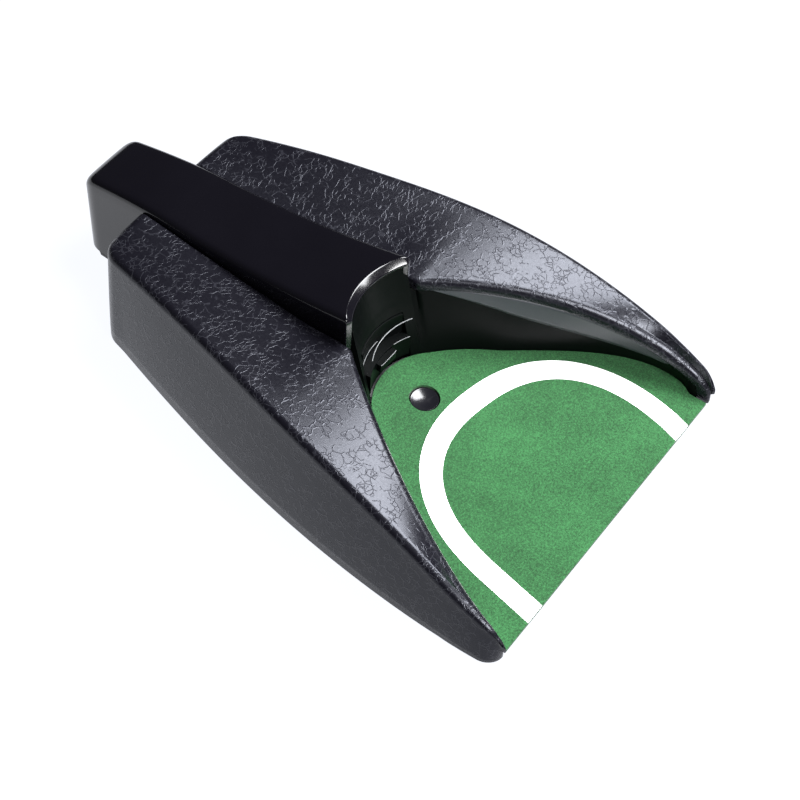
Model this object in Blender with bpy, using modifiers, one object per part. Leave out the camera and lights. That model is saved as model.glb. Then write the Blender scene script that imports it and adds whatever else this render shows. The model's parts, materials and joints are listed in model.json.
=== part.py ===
"""Automatic ball-return putting cup: a felt-floored cup between two textured wings, with a
sprung kicker, its motor and gear train, a ball trigger and a battery box inside.

Every number below is in millimetres, measured from the middle of the front edge on the table:
X to the right, Y from the ball's way in towards the back, Z up. The helper functions turn
millimetres to metres, and one empty carries the whole assembly so that the origin of the part
is the middle of its footprint.
"""
import math

import bmesh
import bpy
from mathutils import Matrix

MM = 0.001
GAP = 0.3

# Overall shape
LENGTH = 312.5
WING_END = 270.2
WING_CORNER = 11.0
TAPER_RUN = 242.0
WIDEST = 100.6
WIDEST_AT = 25.0
WALL = 2.2
WING_BOTTOM = 0.9
NOSE = 8.0
LIP_DROP = 6.5
SIDE_DRAFT = 4.4
FLANK_SWELL = 4.1
EDGE_SWELL = 1.6

# Housing of the mechanism between the wings
TUNNEL_WALL = 2.0
TAIL_RADIUS = 9.0
LIP_CENTRE = 105.2
LIP_RADIUS = 40.0
RIM_LEVEL = 52.3

# Floor of the cup: a ramp that climbs towards the back
RAMP_SLOPE = 0.085
MAT_TOP_FRONT = 3.5
MAT_THICK = 1.6
TRACK_DEPTH = 0.9
RAMP_TOP_FRONT = MAT_TOP_FRONT - MAT_THICK - GAP
RAMP_THICK = 1.4
LINER_LIFT = 0.8
CUP_BACK_CENTRE = 100.5
CUP_BACK_RADIUS = 34.0
HOLE_Y = 109.7
HOLE_RADIUS = 7.8

# White ring on the mat
RING_TURN = 10.0
RING_BACK = 20.0
RING_OUTER = (70.8, 77.8, 2.30, 71.2)
RING_INNER = (59.4, 65.5, 2.45, 59.5)

# Base plate
FOOT = 0.9
BASE_BOTTOM = FOOT + GAP
BASE_TOP = 3.6
BASE_FRONT = 44.0
ON_BASE = BASE_TOP + GAP

# Kicker window in the back wall, and the kicker in it
WINDOW_HALF = 17.0
WINDOW_TOP = 43.0
PADDLE_HALF = WINDOW_HALF - 0.4
PADDLE_BOTTOM = 15.6
PADDLE_STEP = 29.0
PADDLE_TOP = WINDOW_TOP - 0.5
PADDLE_BACK = 146.0
EAR_BACK = 149.0
ROD_X = 12.5
ROD_Z = 18.9
ROD_RADIUS = 1.5
ROD_END = 191.0
BRACKET = (175.0, 180.0)

# Gear train: teeth and modules, and the axles' places in Y and Z
RACK_MODULE = 1.0
SECTOR_TEETH = 24
GEAR_MODULE = 0.8
FINAL_TEETH = 40
WHEEL_TEETH = 36
PINION_TEETH = 10
MOTOR_TEETH = 9
RACK_PITCH_Z = 22.0
SECTOR_RADIUS = RACK_MODULE * SECTOR_TEETH / 2
AXLE_RADIUS = 1.5
BORE_RADIUS = 1.62


def step_along(start, teeth_a, teeth_b, degrees):
    """Place of the next axle: one centre distance away from start, in the given direction."""
    reach = GEAR_MODULE * (teeth_a + teeth_b) / 2
    angle = math.radians(degrees)
    return (start[0] + reach * math.cos(angle), start[1] + reach * math.sin(angle))


SECTOR_TO_SECOND = 20.0
SECOND_TO_FIRST = -30.0
FIRST_TO_MOTOR = -10.0
SECTOR_AXIS = (205.0, RACK_PITCH_Z + SECTOR_RADIUS)
SECOND_AXIS = step_along(SECTOR_AXIS, FINAL_TEETH, PINION_TEETH, SECTOR_TO_SECOND)
FIRST_AXIS = step_along(SECOND_AXIS, WHEEL_TEETH, PINION_TEETH, SECOND_TO_FIRST)
MOTOR_AXIS = step_along(FIRST_AXIS, WHEEL_TEETH, MOTOR_TEETH, FIRST_TO_MOTOR)
LEFT_PLATE = (-12.0, -10.4)
RIGHT_PLATE = (12.2, 13.8)

# Turning a flat outline, drawn in X and Y, so that it faces along X: drawn X lies along Y,
# drawn Y lies along Z, and the extrusion runs along X.
FACING_X = (math.pi / 2, 0.0, math.pi / 2)
ALONG = {"X": (0.0, math.pi / 2, 0.0), "Y": (-math.pi / 2, 0.0, 0.0), "Z": (0.0, 0.0, 0.0)}

# Screw places: wing bosses, ramp posts and tunnel bosses, each mirrored to both sides
WING_BOSSES = ((87.0, 60.0), (41.0, 252.0))
RAMP_POSTS = ((40.0, 70.0),)
TUNNEL_BOSSES = ((10.5, 286.0),)
FEET = ((52.0, 14.0), (11.0, 297.0))
BOSS_RADIUS = 3.4
SCREW_SHANK = 1.2
SCREW_HEAD = 2.7

# Battery bay in the left wing, board and switch in the right wing
CELL_RADIUS = 7.25
CELL_LENGTH = 50.0
CELL_X = (-50.6, -35.2)
CELL_Z = 11.5
CELL_START = 173.0
BAY_X = (-59.2, -26.6)
BAY_Y = (166.0, 230.0)
DOOR_HINGE = (229.2, 2.1)
BOARD_X = (31.0, 61.0)
BOARD_Y = (166.0, 196.0)
BOARD_Z = 8.6
SWITCH_X = 44.0
SWITCH_Y = 214.0


# ---------------------------------------------------------------- shape of the object

def taper_x(y):
    """Plain taper of the wing's half width from its widest place to the tail."""
    if y < WIDEST_AT:
        return WIDEST - 1.3 * ((WIDEST_AT - y) / WIDEST_AT) ** 2
    return WIDEST - 43.9 * ((y - WIDEST_AT) / TAPER_RUN) ** 1.42


def swell(y, start, end):
    """Bulge of height 1 between two places along the wing."""
    return math.sin(math.pi * min(1.0, max(0.0, (y - start) / (end - start))))


def outer_x(y):
    """Half width at the foot of the wing's flank."""
    return taper_x(y) + FLANK_SWELL * swell(y, 30.0, 252.0)


def top_edge_x(y):
    """Half width at the top edge of the wing's flank."""
    return taper_x(y) - SIDE_DRAFT + EDGE_SWELL * swell(y, 40.0, 210.0) ** 2


def top_z(y):
    """Height of a wing along its outer edge."""
    rise = 47.0 * max(0.0, 1.0 - y / 200.0) ** 2.57
    fall = 5.2 * max(0.0, (y - 200.0) / 67.0) ** 2
    return 64.2 - rise - fall


def tunnel_x(y):
    """Half width of the middle housing."""
    return 25.7 - 0.043 * (y - 140.0)


def tunnel_z(y):
    """Height of the middle housing: it sweeps up to the lip at the front."""
    if y < 255.0:
        return 62.9 + 12.2 * ((255.0 - y) / 115.0) ** 2.2
    return 62.9 - 7.6 * ((y - 255.0) / (LENGTH - 255.0)) ** 1.5


def rim_x(y):
    """Half width between the wings' inner rims, over the cup."""
    return 89.9 - 67.0 * (max(y, 0.0) / 139.6) ** 1.68


def rim_z(y):
    """Height of a wing along its inner edge."""
    if y < 140.0:
        return 57.6 - 45.2 * (1.0 - max(y, 0.0) / 140.0) ** 2
    return 57.6 - 2.0 * smooth(140.0, 165.0, y) + 3.6 * max(0.0, (y - 165.0) / 95.0) ** 1.5


def inner_x(y):
    """Inner edge of a wing: over the cup, then along the middle housing."""
    return max(rim_x(y), tunnel_x(y) + 0.4)


def smooth(low, high, value):
    share = min(1.0, max(0.0, (value - low) / (high - low)))
    return share * share * (3.0 - 2.0 * share)


def floor_x(y):
    """Half width of the cup's floor, which runs under the rims in the front half."""
    reach = 43.0 if y > 37.0 else 32.0
    flare = 7.5 * math.cos(math.pi / 2 * (y - 37.0) / reach)
    return rim_x(y) - 0.6 + (flare + 0.6) * smooth(7.5, 16.0, y)


def mat_z(y):
    return MAT_TOP_FRONT + RAMP_SLOPE * y


def ramp_z(y):
    return RAMP_TOP_FRONT + RAMP_SLOPE * y


SIDE_STEPS = 18


def cup_side(steps):
    """Points along the right side of the cup: (y on the rim, point on the floor)."""
    last = 137.0
    turn = 98.0
    tangent = math.radians(44.0)
    points = []
    for i in range(steps + 1):
        y = 9.6 + (last - 9.6) * i / steps
        if y <= turn:
            floor = (floor_x(y), y)
        else:
            share = (y - turn) / (last - turn)
            edge = (floor_x(turn), turn)
            end = arc_point(CUP_BACK_CENTRE, CUP_BACK_RADIUS, tangent)
            floor = (edge[0] + (end[0] - edge[0]) * share, edge[1] + (end[1] - edge[1]) * share)
        points.append((y, floor))
    return points


def arc_point(centre, radius, angle):
    """Point on an arc about (0, centre), with the angle measured from +Y towards +X."""
    return (radius * math.sin(angle), centre + radius * math.cos(angle))


def floor_outline(inset, front):
    """Closed outline of the cup's floor, drawn in by inset, with a straight front edge."""
    ahead = max(inset, 0.2)
    right = [(rim_x(0.0) - 0.6 - ahead, front)]
    for i in range(1, 5):
        y = 9.6 * i / 5
        right.append((floor_x(y) - ahead, y))
    for _, (x, y) in cup_side(SIDE_STEPS):
        draw = ahead if y < 10.0 else inset * 0.8
        right.append((x - draw, y - inset * 0.5 * smooth(60.0, 110.0, y)))
    for degrees in (38.0, 30.0, 22.0, 14.0, 7.0, 0.0):
        right.append(arc_point(CUP_BACK_CENTRE, CUP_BACK_RADIUS - inset, math.radians(degrees)))
    return right + [(-x, y) for x, y in reversed(right[:-1])]


# ---------------------------------------------------------------- helpers

def clear_scene():
    for item in list(bpy.data.objects):
        bpy.data.objects.remove(item, do_unlink=True)


def collection(name):
    made = bpy.data.collections.new(name)
    bpy.context.scene.collection.children.link(made)
    return made


def material(name, colour, roughness, metallic=0.0):
    made = bpy.data.materials.new(name)
    made.use_nodes = True
    shader = made.node_tree.nodes["Principled BSDF"]
    shader.inputs["Base Color"].default_value = (*colour, 1.0)
    shader.inputs["Roughness"].default_value = roughness
    shader.inputs["Metallic"].default_value = metallic
    return made


def place(item, look, group=None):
    """Link an object to its collection, hang it on the frame and give it its material."""
    target = group or PARTS
    for owner in list(item.users_collection):
        owner.objects.unlink(item)
    target.objects.link(item)
    item.parent = FRAME
    if target is CUTTERS:
        item.hide_render = True
        item.display_type = "WIRE"
    elif look:
        item.data.materials.clear()
        item.data.materials.append(look)
    return item


def from_bmesh(name, bm, look, group=None):
    bmesh.ops.recalc_face_normals(bm, faces=bm.faces)
    mesh = bpy.data.meshes.new(name)
    bm.to_mesh(mesh)
    bm.free()
    return place(bpy.data.objects.new(name, mesh), look, group)


def soften(item, degrees=35.0):
    item.data.shade_smooth()
    item.data.set_sharp_from_angle(angle=math.radians(degrees))
    return item


def loft(name, rings, look=None, group=None):
    """Closed solid through rings of equal point counts, with a flat cap on each end."""
    bm = bmesh.new()
    rows = [[bm.verts.new((x * MM, y * MM, z * MM)) for x, y, z in ring] for ring in rings]
    for low, high in zip(rows, rows[1:]):
        for i, vert in enumerate(low):
            j = (i + 1) % len(low)
            bm.faces.new((vert, low[j], high[j], high[i]))
    bm.faces.new(rows[0])
    bm.faces.new(list(reversed(rows[-1])))
    return from_bmesh(name, bm, look, group)


def box(name, low, high, look=None, group=None):
    bm = bmesh.new()
    size = [(b - a) * MM for a, b in zip(low, high)]
    centre = [(a + b) / 2 * MM for a, b in zip(low, high)]
    bmesh.ops.create_cube(bm, size=1.0, matrix=Matrix.Diagonal((*size, 1.0)))
    item = from_bmesh(name, bm, look, group)
    item.location = centre
    return item


def cylinder(name, radius, low, high, axis="Z", at=(0.0, 0.0), look=None, group=None, sides=24):
    """Cylinder between two places on its axis; at holds its other two coordinates."""
    bm = bmesh.new()
    bmesh.ops.create_cone(bm, cap_ends=True, segments=sides, radius1=radius * MM,
                          radius2=radius * MM, depth=(high - low) * MM)
    item = from_bmesh(name, bm, look, group)
    middle = (low + high) / 2
    spot = {"X": (middle, *at), "Y": (at[0], middle, at[1]), "Z": (*at, middle)}[axis]
    item.location = [value * MM for value in spot]
    item.rotation_euler = ALONG[axis]
    return soften(item)


def plate(name, outline, low, high, look=None, group=None, holes=(), facing=None, at=(0.0, 0.0)):
    """Flat piece from a drawn outline and holes, between two heights (or two X places)."""
    curve = bpy.data.curves.new(name, "CURVE")
    curve.dimensions = "2D"
    curve.fill_mode = "BOTH"
    curve.extrude = (high - low) / 2 * MM
    for line in (outline, *holes):
        spline = curve.splines.new("POLY")
        spline.points.add(len(line) - 1)
        spline.use_cyclic_u = True
        for point, (u, v) in zip(spline.points, line):
            point.co = (u * MM, v * MM, 0.0, 1.0)
    item = bpy.data.objects.new(name, curve)
    middle = (low + high) / 2
    if facing == "X":
        item.location = (middle * MM, at[0] * MM, at[1] * MM)
        item.rotation_euler = FACING_X
    else:
        item.location = (at[0] * MM, at[1] * MM, middle * MM)
    place(item, look, group)
    return as_mesh(item, look, group)


def as_mesh(item, look, group=None):
    """The same piece as a welded mesh, so that it can be cut or joined."""
    bpy.context.view_layer.update()
    shown = item.evaluated_get(bpy.context.evaluated_depsgraph_get())
    mesh = bpy.data.meshes.new_from_object(shown)
    bm = bmesh.new()
    bm.from_mesh(mesh)
    bmesh.ops.remove_doubles(bm, verts=bm.verts, dist=1e-6)
    bmesh.ops.recalc_face_normals(bm, faces=bm.faces)
    bm.to_mesh(mesh)
    bm.free()
    name, spot, turn = item.name, item.location.copy(), item.rotation_euler.copy()
    bpy.data.objects.remove(item, do_unlink=True)
    made = bpy.data.objects.new(name, mesh)
    made.name = name
    made.location = spot
    made.rotation_euler = turn
    return place(made, look, group)


def disc(radius, sides=24, at=(0.0, 0.0), start=0.0):
    """Round outline."""
    step = 2 * math.pi / sides
    return [(at[0] + radius * math.cos(start + i * step), at[1] + radius * math.sin(start + i * step))
            for i in range(sides)]


def tube(name, points, radius, look, sides=2, group=None):
    """Wire along a path of points."""
    curve = bpy.data.curves.new(name, "CURVE")
    curve.dimensions = "3D"
    curve.bevel_depth = radius * MM
    curve.bevel_resolution = sides
    curve.use_fill_caps = True
    spline = curve.splines.new("POLY")
    spline.points.add(len(points) - 1)
    for point, (x, y, z) in zip(spline.points, points):
        point.co = (x * MM, y * MM, z * MM, 1.0)
    return place(bpy.data.objects.new(name, curve), look, group)


def turned(name, profile, look, at, sides=24, group=None):
    """Turned piece about a vertical axis; the profile runs down its outer side."""
    bm = bmesh.new()
    verts = [bm.verts.new((r * MM, 0.0, z * MM)) for r, z in profile]
    for low, high in zip(verts, verts[1:]):
        bm.edges.new((low, high))
    mesh = bpy.data.meshes.new(name)
    bm.to_mesh(mesh)
    bm.free()
    item = place(bpy.data.objects.new(name, mesh), look, group)
    item.location = [value * MM for value in at]
    screw = item.modifiers.new("Turn", "SCREW")
    screw.axis = "Z"
    screw.steps = sides
    screw.render_steps = sides
    screw.use_merge_vertices = True
    screw.merge_threshold = 0.00001
    screw.use_smooth_shade = True
    return item


def cut(item, tool, operation="DIFFERENCE"):
    """Cut a tool away from a piece, or join it on."""
    mod = item.modifiers.new(operation.title(), "BOOLEAN")
    mod.object = tool
    mod.operation = operation
    mod.solver = "EXACT"
    return item


def gather(name, pieces, look, group=None):
    """One object from several solids that stand apart."""
    bpy.context.view_layer.update()
    bm = bmesh.new()
    for piece in pieces:
        mesh = bpy.data.meshes.new_from_object(piece.evaluated_get(bpy.context.evaluated_depsgraph_get()))
        mesh.transform(piece.matrix_basis)
        bm.from_mesh(mesh)
        bpy.data.meshes.remove(mesh)
        bpy.data.objects.remove(piece, do_unlink=True)
    bmesh.ops.remove_doubles(bm, verts=bm.verts, dist=1e-6)
    item = from_bmesh(name, bm, look, group)
    return soften(item)


def both(place_list):
    """Each place and its mirror image."""
    return [(side * x, y) for x, y in place_list for side in (1, -1)]


# ---------------------------------------------------------------- shells

def wing_ring(y, side):
    """Outline of a wing's solid section at y, from the table up over the top to the inner rim."""
    low_x = outer_x(y)
    edge_x = top_edge_x(y)
    edge_z = top_z(y)
    near_x = inner_x(y)
    near_z = rim_z(y)
    width = edge_x - near_x
    big = min(4.0, 0.42 * width)
    small = min(3.0, 0.34 * width) * (1.0 - smooth(132.0, 139.0, y)) + 0.5
    half = math.pi / 2
    points = [(low_x, WING_BOTTOM)]
    for i in range(5):
        turn = half * i / 4
        points.append((edge_x - big + big * math.cos(turn), edge_z - big + big * math.sin(turn)))
    for share in (0.25, 0.5, 0.75):
        crown = 1.2 * 4 * share * (1 - share) * min(1.0, width / 25.0)
        x = edge_x - big + (near_x + small - edge_x + big) * share
        points.append((x, edge_z + (near_z - edge_z) * share + crown))
    for i in range(4):
        turn = half * i / 3
        points.append((near_x + small - small * math.sin(turn), near_z - small + small * math.cos(turn)))
    points.append((near_x, near_z - LIP_DROP))
    points.append((near_x, WING_BOTTOM))
    points = round_off(points, y, (low_x + near_x) / 2)
    return [(side * x, y, z) for x, z in points]


def roll_in(y, end, radius):
    """How far a corner of that radius, which ends at end, has drawn in at y."""
    over = y - (end - radius)
    return radius - math.sqrt(max(0.0, radius ** 2 - over ** 2)) if over > 0.0 else 0.0


def round_off(points, y, middle):
    """Draw a section in where the wing's nose and its back corners are rounded."""
    if y < NOSE:
        share = math.sqrt(max(0.0, 1.0 - ((NOSE - y) / NOSE) ** 2))
        wide = 0.3 + 0.7 * share
        high = 0.5 + 0.5 * share
        return [(middle + (x - middle) * wide, WING_BOTTOM + (z - WING_BOTTOM) * high) for x, z in points]
    draw = roll_in(y, WING_END, WING_CORNER)
    if draw > 0.0:
        limit = outer_x(y) - draw
        fall = 0.7 * roll_in(y, WING_END, 6.0)
        return [(min(x, limit - 0.5 * max(0.0, z - 40.0) / 20.0), z - fall * smooth(30.0, 50.0, z))
                for x, z in points]
    return points


def wing_hollow(y, side):
    """Section of the space inside a wing, open below and towards the cup under its rim."""
    draw = roll_in(y, WING_END - WALL, WING_CORNER - WALL)
    low_x = outer_x(y) - WALL - draw
    edge_x = top_edge_x(y) - WALL - draw
    edge_z = top_z(y) - WALL - 0.7 * roll_in(y, WING_END - WALL, 4.0)
    near_x = inner_x(y) + WALL
    near_z = rim_z(y) - WALL
    big = min(3.0, 0.35 * (edge_x - near_x))
    lip = rim_z(y) - LIP_DROP
    under = -3.0
    points = [(low_x, under), (edge_x, edge_z - big), (edge_x - 0.3 * big, edge_z - 0.3 * big),
              (edge_x - big, edge_z), (near_x + 1.5, near_z), (near_x, near_z - 1.5),
              (near_x, lip), (near_x - 9.0, lip), (near_x - 9.0, under)]
    return [(side * x, y, z) for x, z in points]


def wing_stations():
    nose = [NOSE * (1 - math.cos(math.radians(a))) for a in (14.0, 34.0, 56.0, 76.0)]
    body = [8.5, 14.0, 21.0, 30.0, 40.0, 51.0, 63.0, 76.0, 90.0, 104.0, 117.0, 127.0, 133.0, 137.0,
            143.0, 155.0, 170.0, 186.0, 205.0, 226.0, 246.0]
    tail = [WING_END - WING_CORNER * (1.0 - math.sin(math.radians(a))) for a in (0.0, 30.0, 50.0, 68.0, 90.0)]
    return nose + body + tail


def wing_shell(name, side, look):
    """Textured wing: a thin shell with three screw bosses."""
    stations = wing_stations()
    shell = loft(name, [wing_ring(y, side) for y in stations], look)
    inside = [y for y in stations if 8.0 < y < 250.0]
    inside += [WING_END - WALL - (WING_CORNER - WALL) * (1.0 - math.sin(math.radians(a)))
               for a in (0.0, 35.0, 62.0, 90.0)]
    hollow = loft(name + "_hollow", [wing_hollow(y, side) for y in inside], group=CUTTERS)
    cut(shell, hollow)
    for i, (x, y) in enumerate(WING_BOSSES):
        edge = top_edge_x(y)
        roof = top_z(y) + (rim_z(y) - top_z(y)) * (edge - x) / (edge - inner_x(y)) - 0.7
        boss = cylinder(f"{name}_boss_{i}", BOSS_RADIUS, ON_BASE, roof, at=(side * x, y),
                        group=CUTTERS, sides=16)
        cut(shell, boss, "UNION")
        pilot = cylinder(f"{name}_pilot_{i}", SCREW_SHANK + 0.2, ON_BASE - 1.0, 16.0, at=(side * x, y),
                         group=CUTTERS, sides=12)
        cut(shell, pilot)
    return shell


def tunnel_ring(y, inset, bottom):
    """Section of the middle housing, drawn in by inset, rounded off at its back end."""
    wide = tunnel_x(y) - inset
    high = tunnel_z(y) - inset
    tail = LENGTH - inset
    drop = 0.0
    tuck = 0.0
    radius = TAIL_RADIUS
    if y > tail - radius:
        share = min(1.0, (y - tail + radius) / radius)
        drop = radius - math.sqrt(max(0.0, radius ** 2 * (1 - share ** 2)))
        tuck = 0.6 * drop
    half = math.pi / 2
    corner = 4.0
    points = [(wide - tuck, bottom)]
    for i in range(5):
        turn = half * i / 4
        points.append((wide - tuck - corner + corner * math.cos(turn),
                       high - drop - corner + corner * math.sin(turn)))
    mirrored = [(-x, z) for x, z in reversed(points)]
    return [(x, y, z) for x, z in points + mirrored]


def tunnel_cover(look):
    """Smooth housing over the mechanism, with a curved lip over the cup."""
    stations = [118.0, 126.0, 134.0, 142.0, 150.0, 159.0, 169.0, 180.0, 193.0, 208.0, 225.0, 243.0,
                262.0, 276.0, 290.0]
    stations += [LENGTH - TAIL_RADIUS * (1.0 - math.sin(math.radians(a))) for a in (0.0, 22.0, 42.0, 60.0, 75.0, 90.0)]
    cover = loft("tunnel_cover", [tunnel_ring(y, 0.0, ON_BASE) for y in stations], look)
    rings = [tunnel_ring(y, 4.2, -5.0) for y in (110.0, 126.0, 146.0)]
    rings = [[(x * (tunnel_x(y) - TUNNEL_WALL) / (tunnel_x(y) - 4.2), y, z) for x, y, z in ring]
             for ring in rings]
    inner = [149.0, 159.0, 169.0, 180.0, 193.0, 208.0, 225.0, 243.0, 262.0, 276.0, 290.0]
    inner += [LENGTH - TUNNEL_WALL - TAIL_RADIUS * (1.0 - math.sin(math.radians(a))) for a in (0.0, 28.0, 55.0, 90.0)]
    rings += [tunnel_ring(y, TUNNEL_WALL, -5.0) for y in inner]
    cut(cover, loft("tunnel_hollow", rings, group=CUTTERS))
    cut(cover, cylinder("lip_arc", LIP_RADIUS, -5.0, 100.0, at=(0.0, LIP_CENTRE), group=CUTTERS, sides=96))
    cut(cover, box("lip_trim", (-60.0, 80.0, -5.0), (60.0, 133.6, 100.0), group=CUTTERS))
    cut(cover, box("rim_relief", (-40.0, 120.0, -5.0), (40.0, 146.0, RIM_LEVEL), group=CUTTERS))
    for i, (x, y) in enumerate(both(TUNNEL_BOSSES)):
        boss = cylinder(f"tunnel_boss_{i}", 2.6, ON_BASE, tunnel_z(y) - 1.2, at=(x, y),
                        group=CUTTERS, sides=16)
        cut(cover, boss, "UNION")
        cut(cover, cylinder(f"tunnel_pilot_{i}", SCREW_SHANK + 0.2, ON_BASE - 1.0, 14.0, at=(x, y),
                            group=CUTTERS, sides=12))
    return cover


def cup_liner(look):
    """Smooth wall of the cup, from the wings' rims down to the mat, with the kicker's window."""
    columns = []
    for y, (fx, fy) in cup_side(SIDE_STEPS):
        top = (rim_x(y) + 0.9, y, rim_z(y) - LIP_DROP - 0.8)
        if rim_x(y) < tunnel_x(y) + 0.4:
            top = (tunnel_x(y) + 1.3, y, rim_z(y) - LIP_DROP - 0.8)
        columns.append(((fx, fy, ramp_z(fy) + LINER_LIFT), top))
    lip = LIP_RADIUS + 1.2
    corner = arc_point(CUP_BACK_CENTRE, CUP_BACK_RADIUS, math.radians(40.0))
    columns.append(((*corner, ramp_z(corner[1]) + LINER_LIFT), (22.6, 140.2, rim_z(137.0) - LIP_DROP - 0.8)))
    for degrees in (38.0, 32.0, 25.0, 18.0, 11.0, 4.0):
        fx, fy = arc_point(CUP_BACK_CENTRE, CUP_BACK_RADIUS, math.radians(degrees))
        wide = 21.9 * degrees / 38.0
        y = LIP_CENTRE + math.sqrt(lip ** 2 - wide ** 2)
        columns.append(((fx, fy, ramp_z(fy) + LINER_LIFT), (wide, y, tunnel_z(y) - 7.2)))
    columns += [((-a[0], a[1], a[2]), (-b[0], b[1], b[2])) for a, b in reversed(columns)]
    bm = bmesh.new()
    rows = 5
    grid = []
    for low, high in columns:
        line = []
        for i in range(rows + 1):
            share = i / rows
            line.append(bm.verts.new([(a + (b - a) * share) * MM for a, b in zip(low, high)]))
        grid.append(line)
    for left, right in zip(grid, grid[1:]):
        for i in range(rows):
            bm.faces.new((left[i], left[i + 1], right[i + 1], right[i]))
    bmesh.ops.recalc_face_normals(bm, faces=bm.faces)
    bm.normal_update()
    back = min(bm.faces, key=lambda face: (face.calc_center_median() - BACK_POINT).length)
    if back.normal.y > 0:
        bmesh.ops.reverse_faces(bm, faces=bm.faces)
    mesh = bpy.data.meshes.new("cup_liner")
    bm.to_mesh(mesh)
    bm.free()
    liner = place(bpy.data.objects.new("cup_liner", mesh), look)
    soften(liner)
    thick = liner.modifiers.new("Thickness", "SOLIDIFY")
    thick.thickness = 1.8 * MM
    thick.offset = -1.0
    cut(liner, box("window", (-WINDOW_HALF, 115.0, 5.0), (WINDOW_HALF, 160.0, WINDOW_TOP), group=CUTTERS))
    return liner


def base_outline():
    """Closed outline of the base plate, inside the wings' walls."""
    right = [(outer_x(BASE_FRONT) - WALL - 1.6, BASE_FRONT)]
    for y in (50.0, 65.0, 82.0, 100.0, 120.0, 142.0, 165.0, 190.0, 215.0, 240.0, 258.0):
        right.append((outer_x(y) - WALL - 1.6, y))
    right.append((outer_x(262.0) - WALL - 2.4, 262.0))
    right.append((outer_x(267.4) - WALL - 8.2, 267.4))
    right.append((tunnel_x(267.4) - 0.3, 267.4))
    right.append((tunnel_x(304.0) - 0.3, 304.0))
    right.append((tunnel_x(304.0) - 5.0, LENGTH - 0.6))
    return right + [(-x, y) for x, y in reversed(right)]


def base_plate(look):
    """Flat bottom with posts for the ramp and the board, screw holes, and the openings."""
    base = plate("base_plate", base_outline(), BASE_BOTTOM, BASE_TOP, look)
    cut(base, box("battery_opening", (BAY_X[0], BAY_Y[0], -2.0), (BAY_X[1], BAY_Y[1] + 0.6, 8.0),
                  group=CUTTERS))
    cut(base, box("switch_slot", (SWITCH_X - 2.6, SWITCH_Y - 2.4, -2.0), (SWITCH_X + 6.2, SWITCH_Y + 2.4, 8.0),
                  group=CUTTERS))
    for i, (x, y) in enumerate(both(RAMP_POSTS)):
        top = ramp_z(y - BOSS_RADIUS) - RAMP_THICK - GAP
        cut(base, cylinder(f"ramp_post_{i}", BOSS_RADIUS, BASE_TOP - 0.5, top, at=(x, y),
                           group=CUTTERS, sides=16), "UNION")
    for i, x in enumerate((BOARD_X[0] + 3.0, BOARD_X[1] - 3.0)):
        for j, y in enumerate((BOARD_Y[0] + 3.0, BOARD_Y[1] - 3.0)):
            cut(base, cylinder(f"board_post_{i}_{j}", 2.2, BASE_TOP - 0.5, BOARD_Z - GAP, at=(x, y),
                               group=CUTTERS, sides=12), "UNION")
    drills = []
    for i, (x, y) in enumerate(both(WING_BOSSES + RAMP_POSTS + TUNNEL_BOSSES)):
        drills.append(cylinder(f"drill_{i}", SCREW_SHANK + 0.3, BASE_BOTTOM - 1.0, 20.0, at=(x, y),
                               group=CUTTERS, sides=12))
    cut(base, gather("screw_drills", drills, None, CUTTERS))
    sinks = []
    for i, (x, y) in enumerate(both(WING_BOSSES + RAMP_POSTS + TUNNEL_BOSSES)):
        sinks.append(cylinder(f"sink_{i}", SCREW_HEAD + 0.3, BASE_BOTTOM - 1.0, 2.6, at=(x, y),
                              group=CUTTERS, sides=16))
    cut(base, gather("screw_sinks", sinks, None, CUTTERS))
    return base


def ramp_plate(look):
    """Sloping floor under the mat, with a hole for the trigger."""
    return sloping_sheet("ramp_plate", floor_outline(-1.4, 0.4), [disc(HOLE_RADIUS, 32, (0.0, HOLE_Y))],
                         RAMP_TOP_FRONT - RAMP_THICK, RAMP_TOP_FRONT, look)


def putting_mat(look):
    """Felt mat with the ball hole and a shallow track for the white ring."""
    whole = sloping_sheet("putting_mat", floor_outline(1.3, 0.0), [disc(HOLE_RADIUS, 32, (0.0, HOLE_Y))],
                          MAT_TOP_FRONT - MAT_THICK, MAT_TOP_FRONT, look)
    track = sloping_sheet("ring_track", ring_outline(GAP), [], MAT_TOP_FRONT - TRACK_DEPTH,
                          MAT_TOP_FRONT + 5.0, None, CUTTERS)
    return cut(whole, track)


def ring_outline(grow):
    """Closed outline of the white ring: an arch whose legs reach the mat's front edge."""
    outer = arch(RING_OUTER, grow, 36)
    inner = arch(RING_INNER, -grow, 32)
    if grow:
        outer = [(outer[0][0], -4.0)] + outer + [(outer[-1][0], -4.0)]
        inner = [(inner[0][0], -4.0)] + inner + [(inner[-1][0], -4.0)]
    return outer + list(reversed(inner))


def arch(shape, grow, steps):
    """Rounded arch from right to left, turned a little on the mat, its legs led to y = 0."""
    half, reach, power, leg = shape
    turn = math.radians(RING_TURN)
    points = [(leg + grow, 0.0)]
    for i in range(steps + 1):
        angle = math.pi * i / steps
        across = (half + grow) * math.copysign(abs(math.cos(angle)) ** (2 / power), math.cos(angle))
        ahead = RING_BACK + (reach + grow) * abs(math.sin(angle)) ** (2 / power)
        points.append((across * math.cos(turn) + ahead * math.sin(turn),
                       ahead * math.cos(turn) - across * math.sin(turn)))
    points.append((-leg - grow, 0.0))
    return points


def ring_inlay(look):
    """White ring, level with the mat."""
    return sloping_sheet("ring_inlay", ring_outline(0.0), [], MAT_TOP_FRONT - TRACK_DEPTH + GAP,
                         MAT_TOP_FRONT, look)


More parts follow.
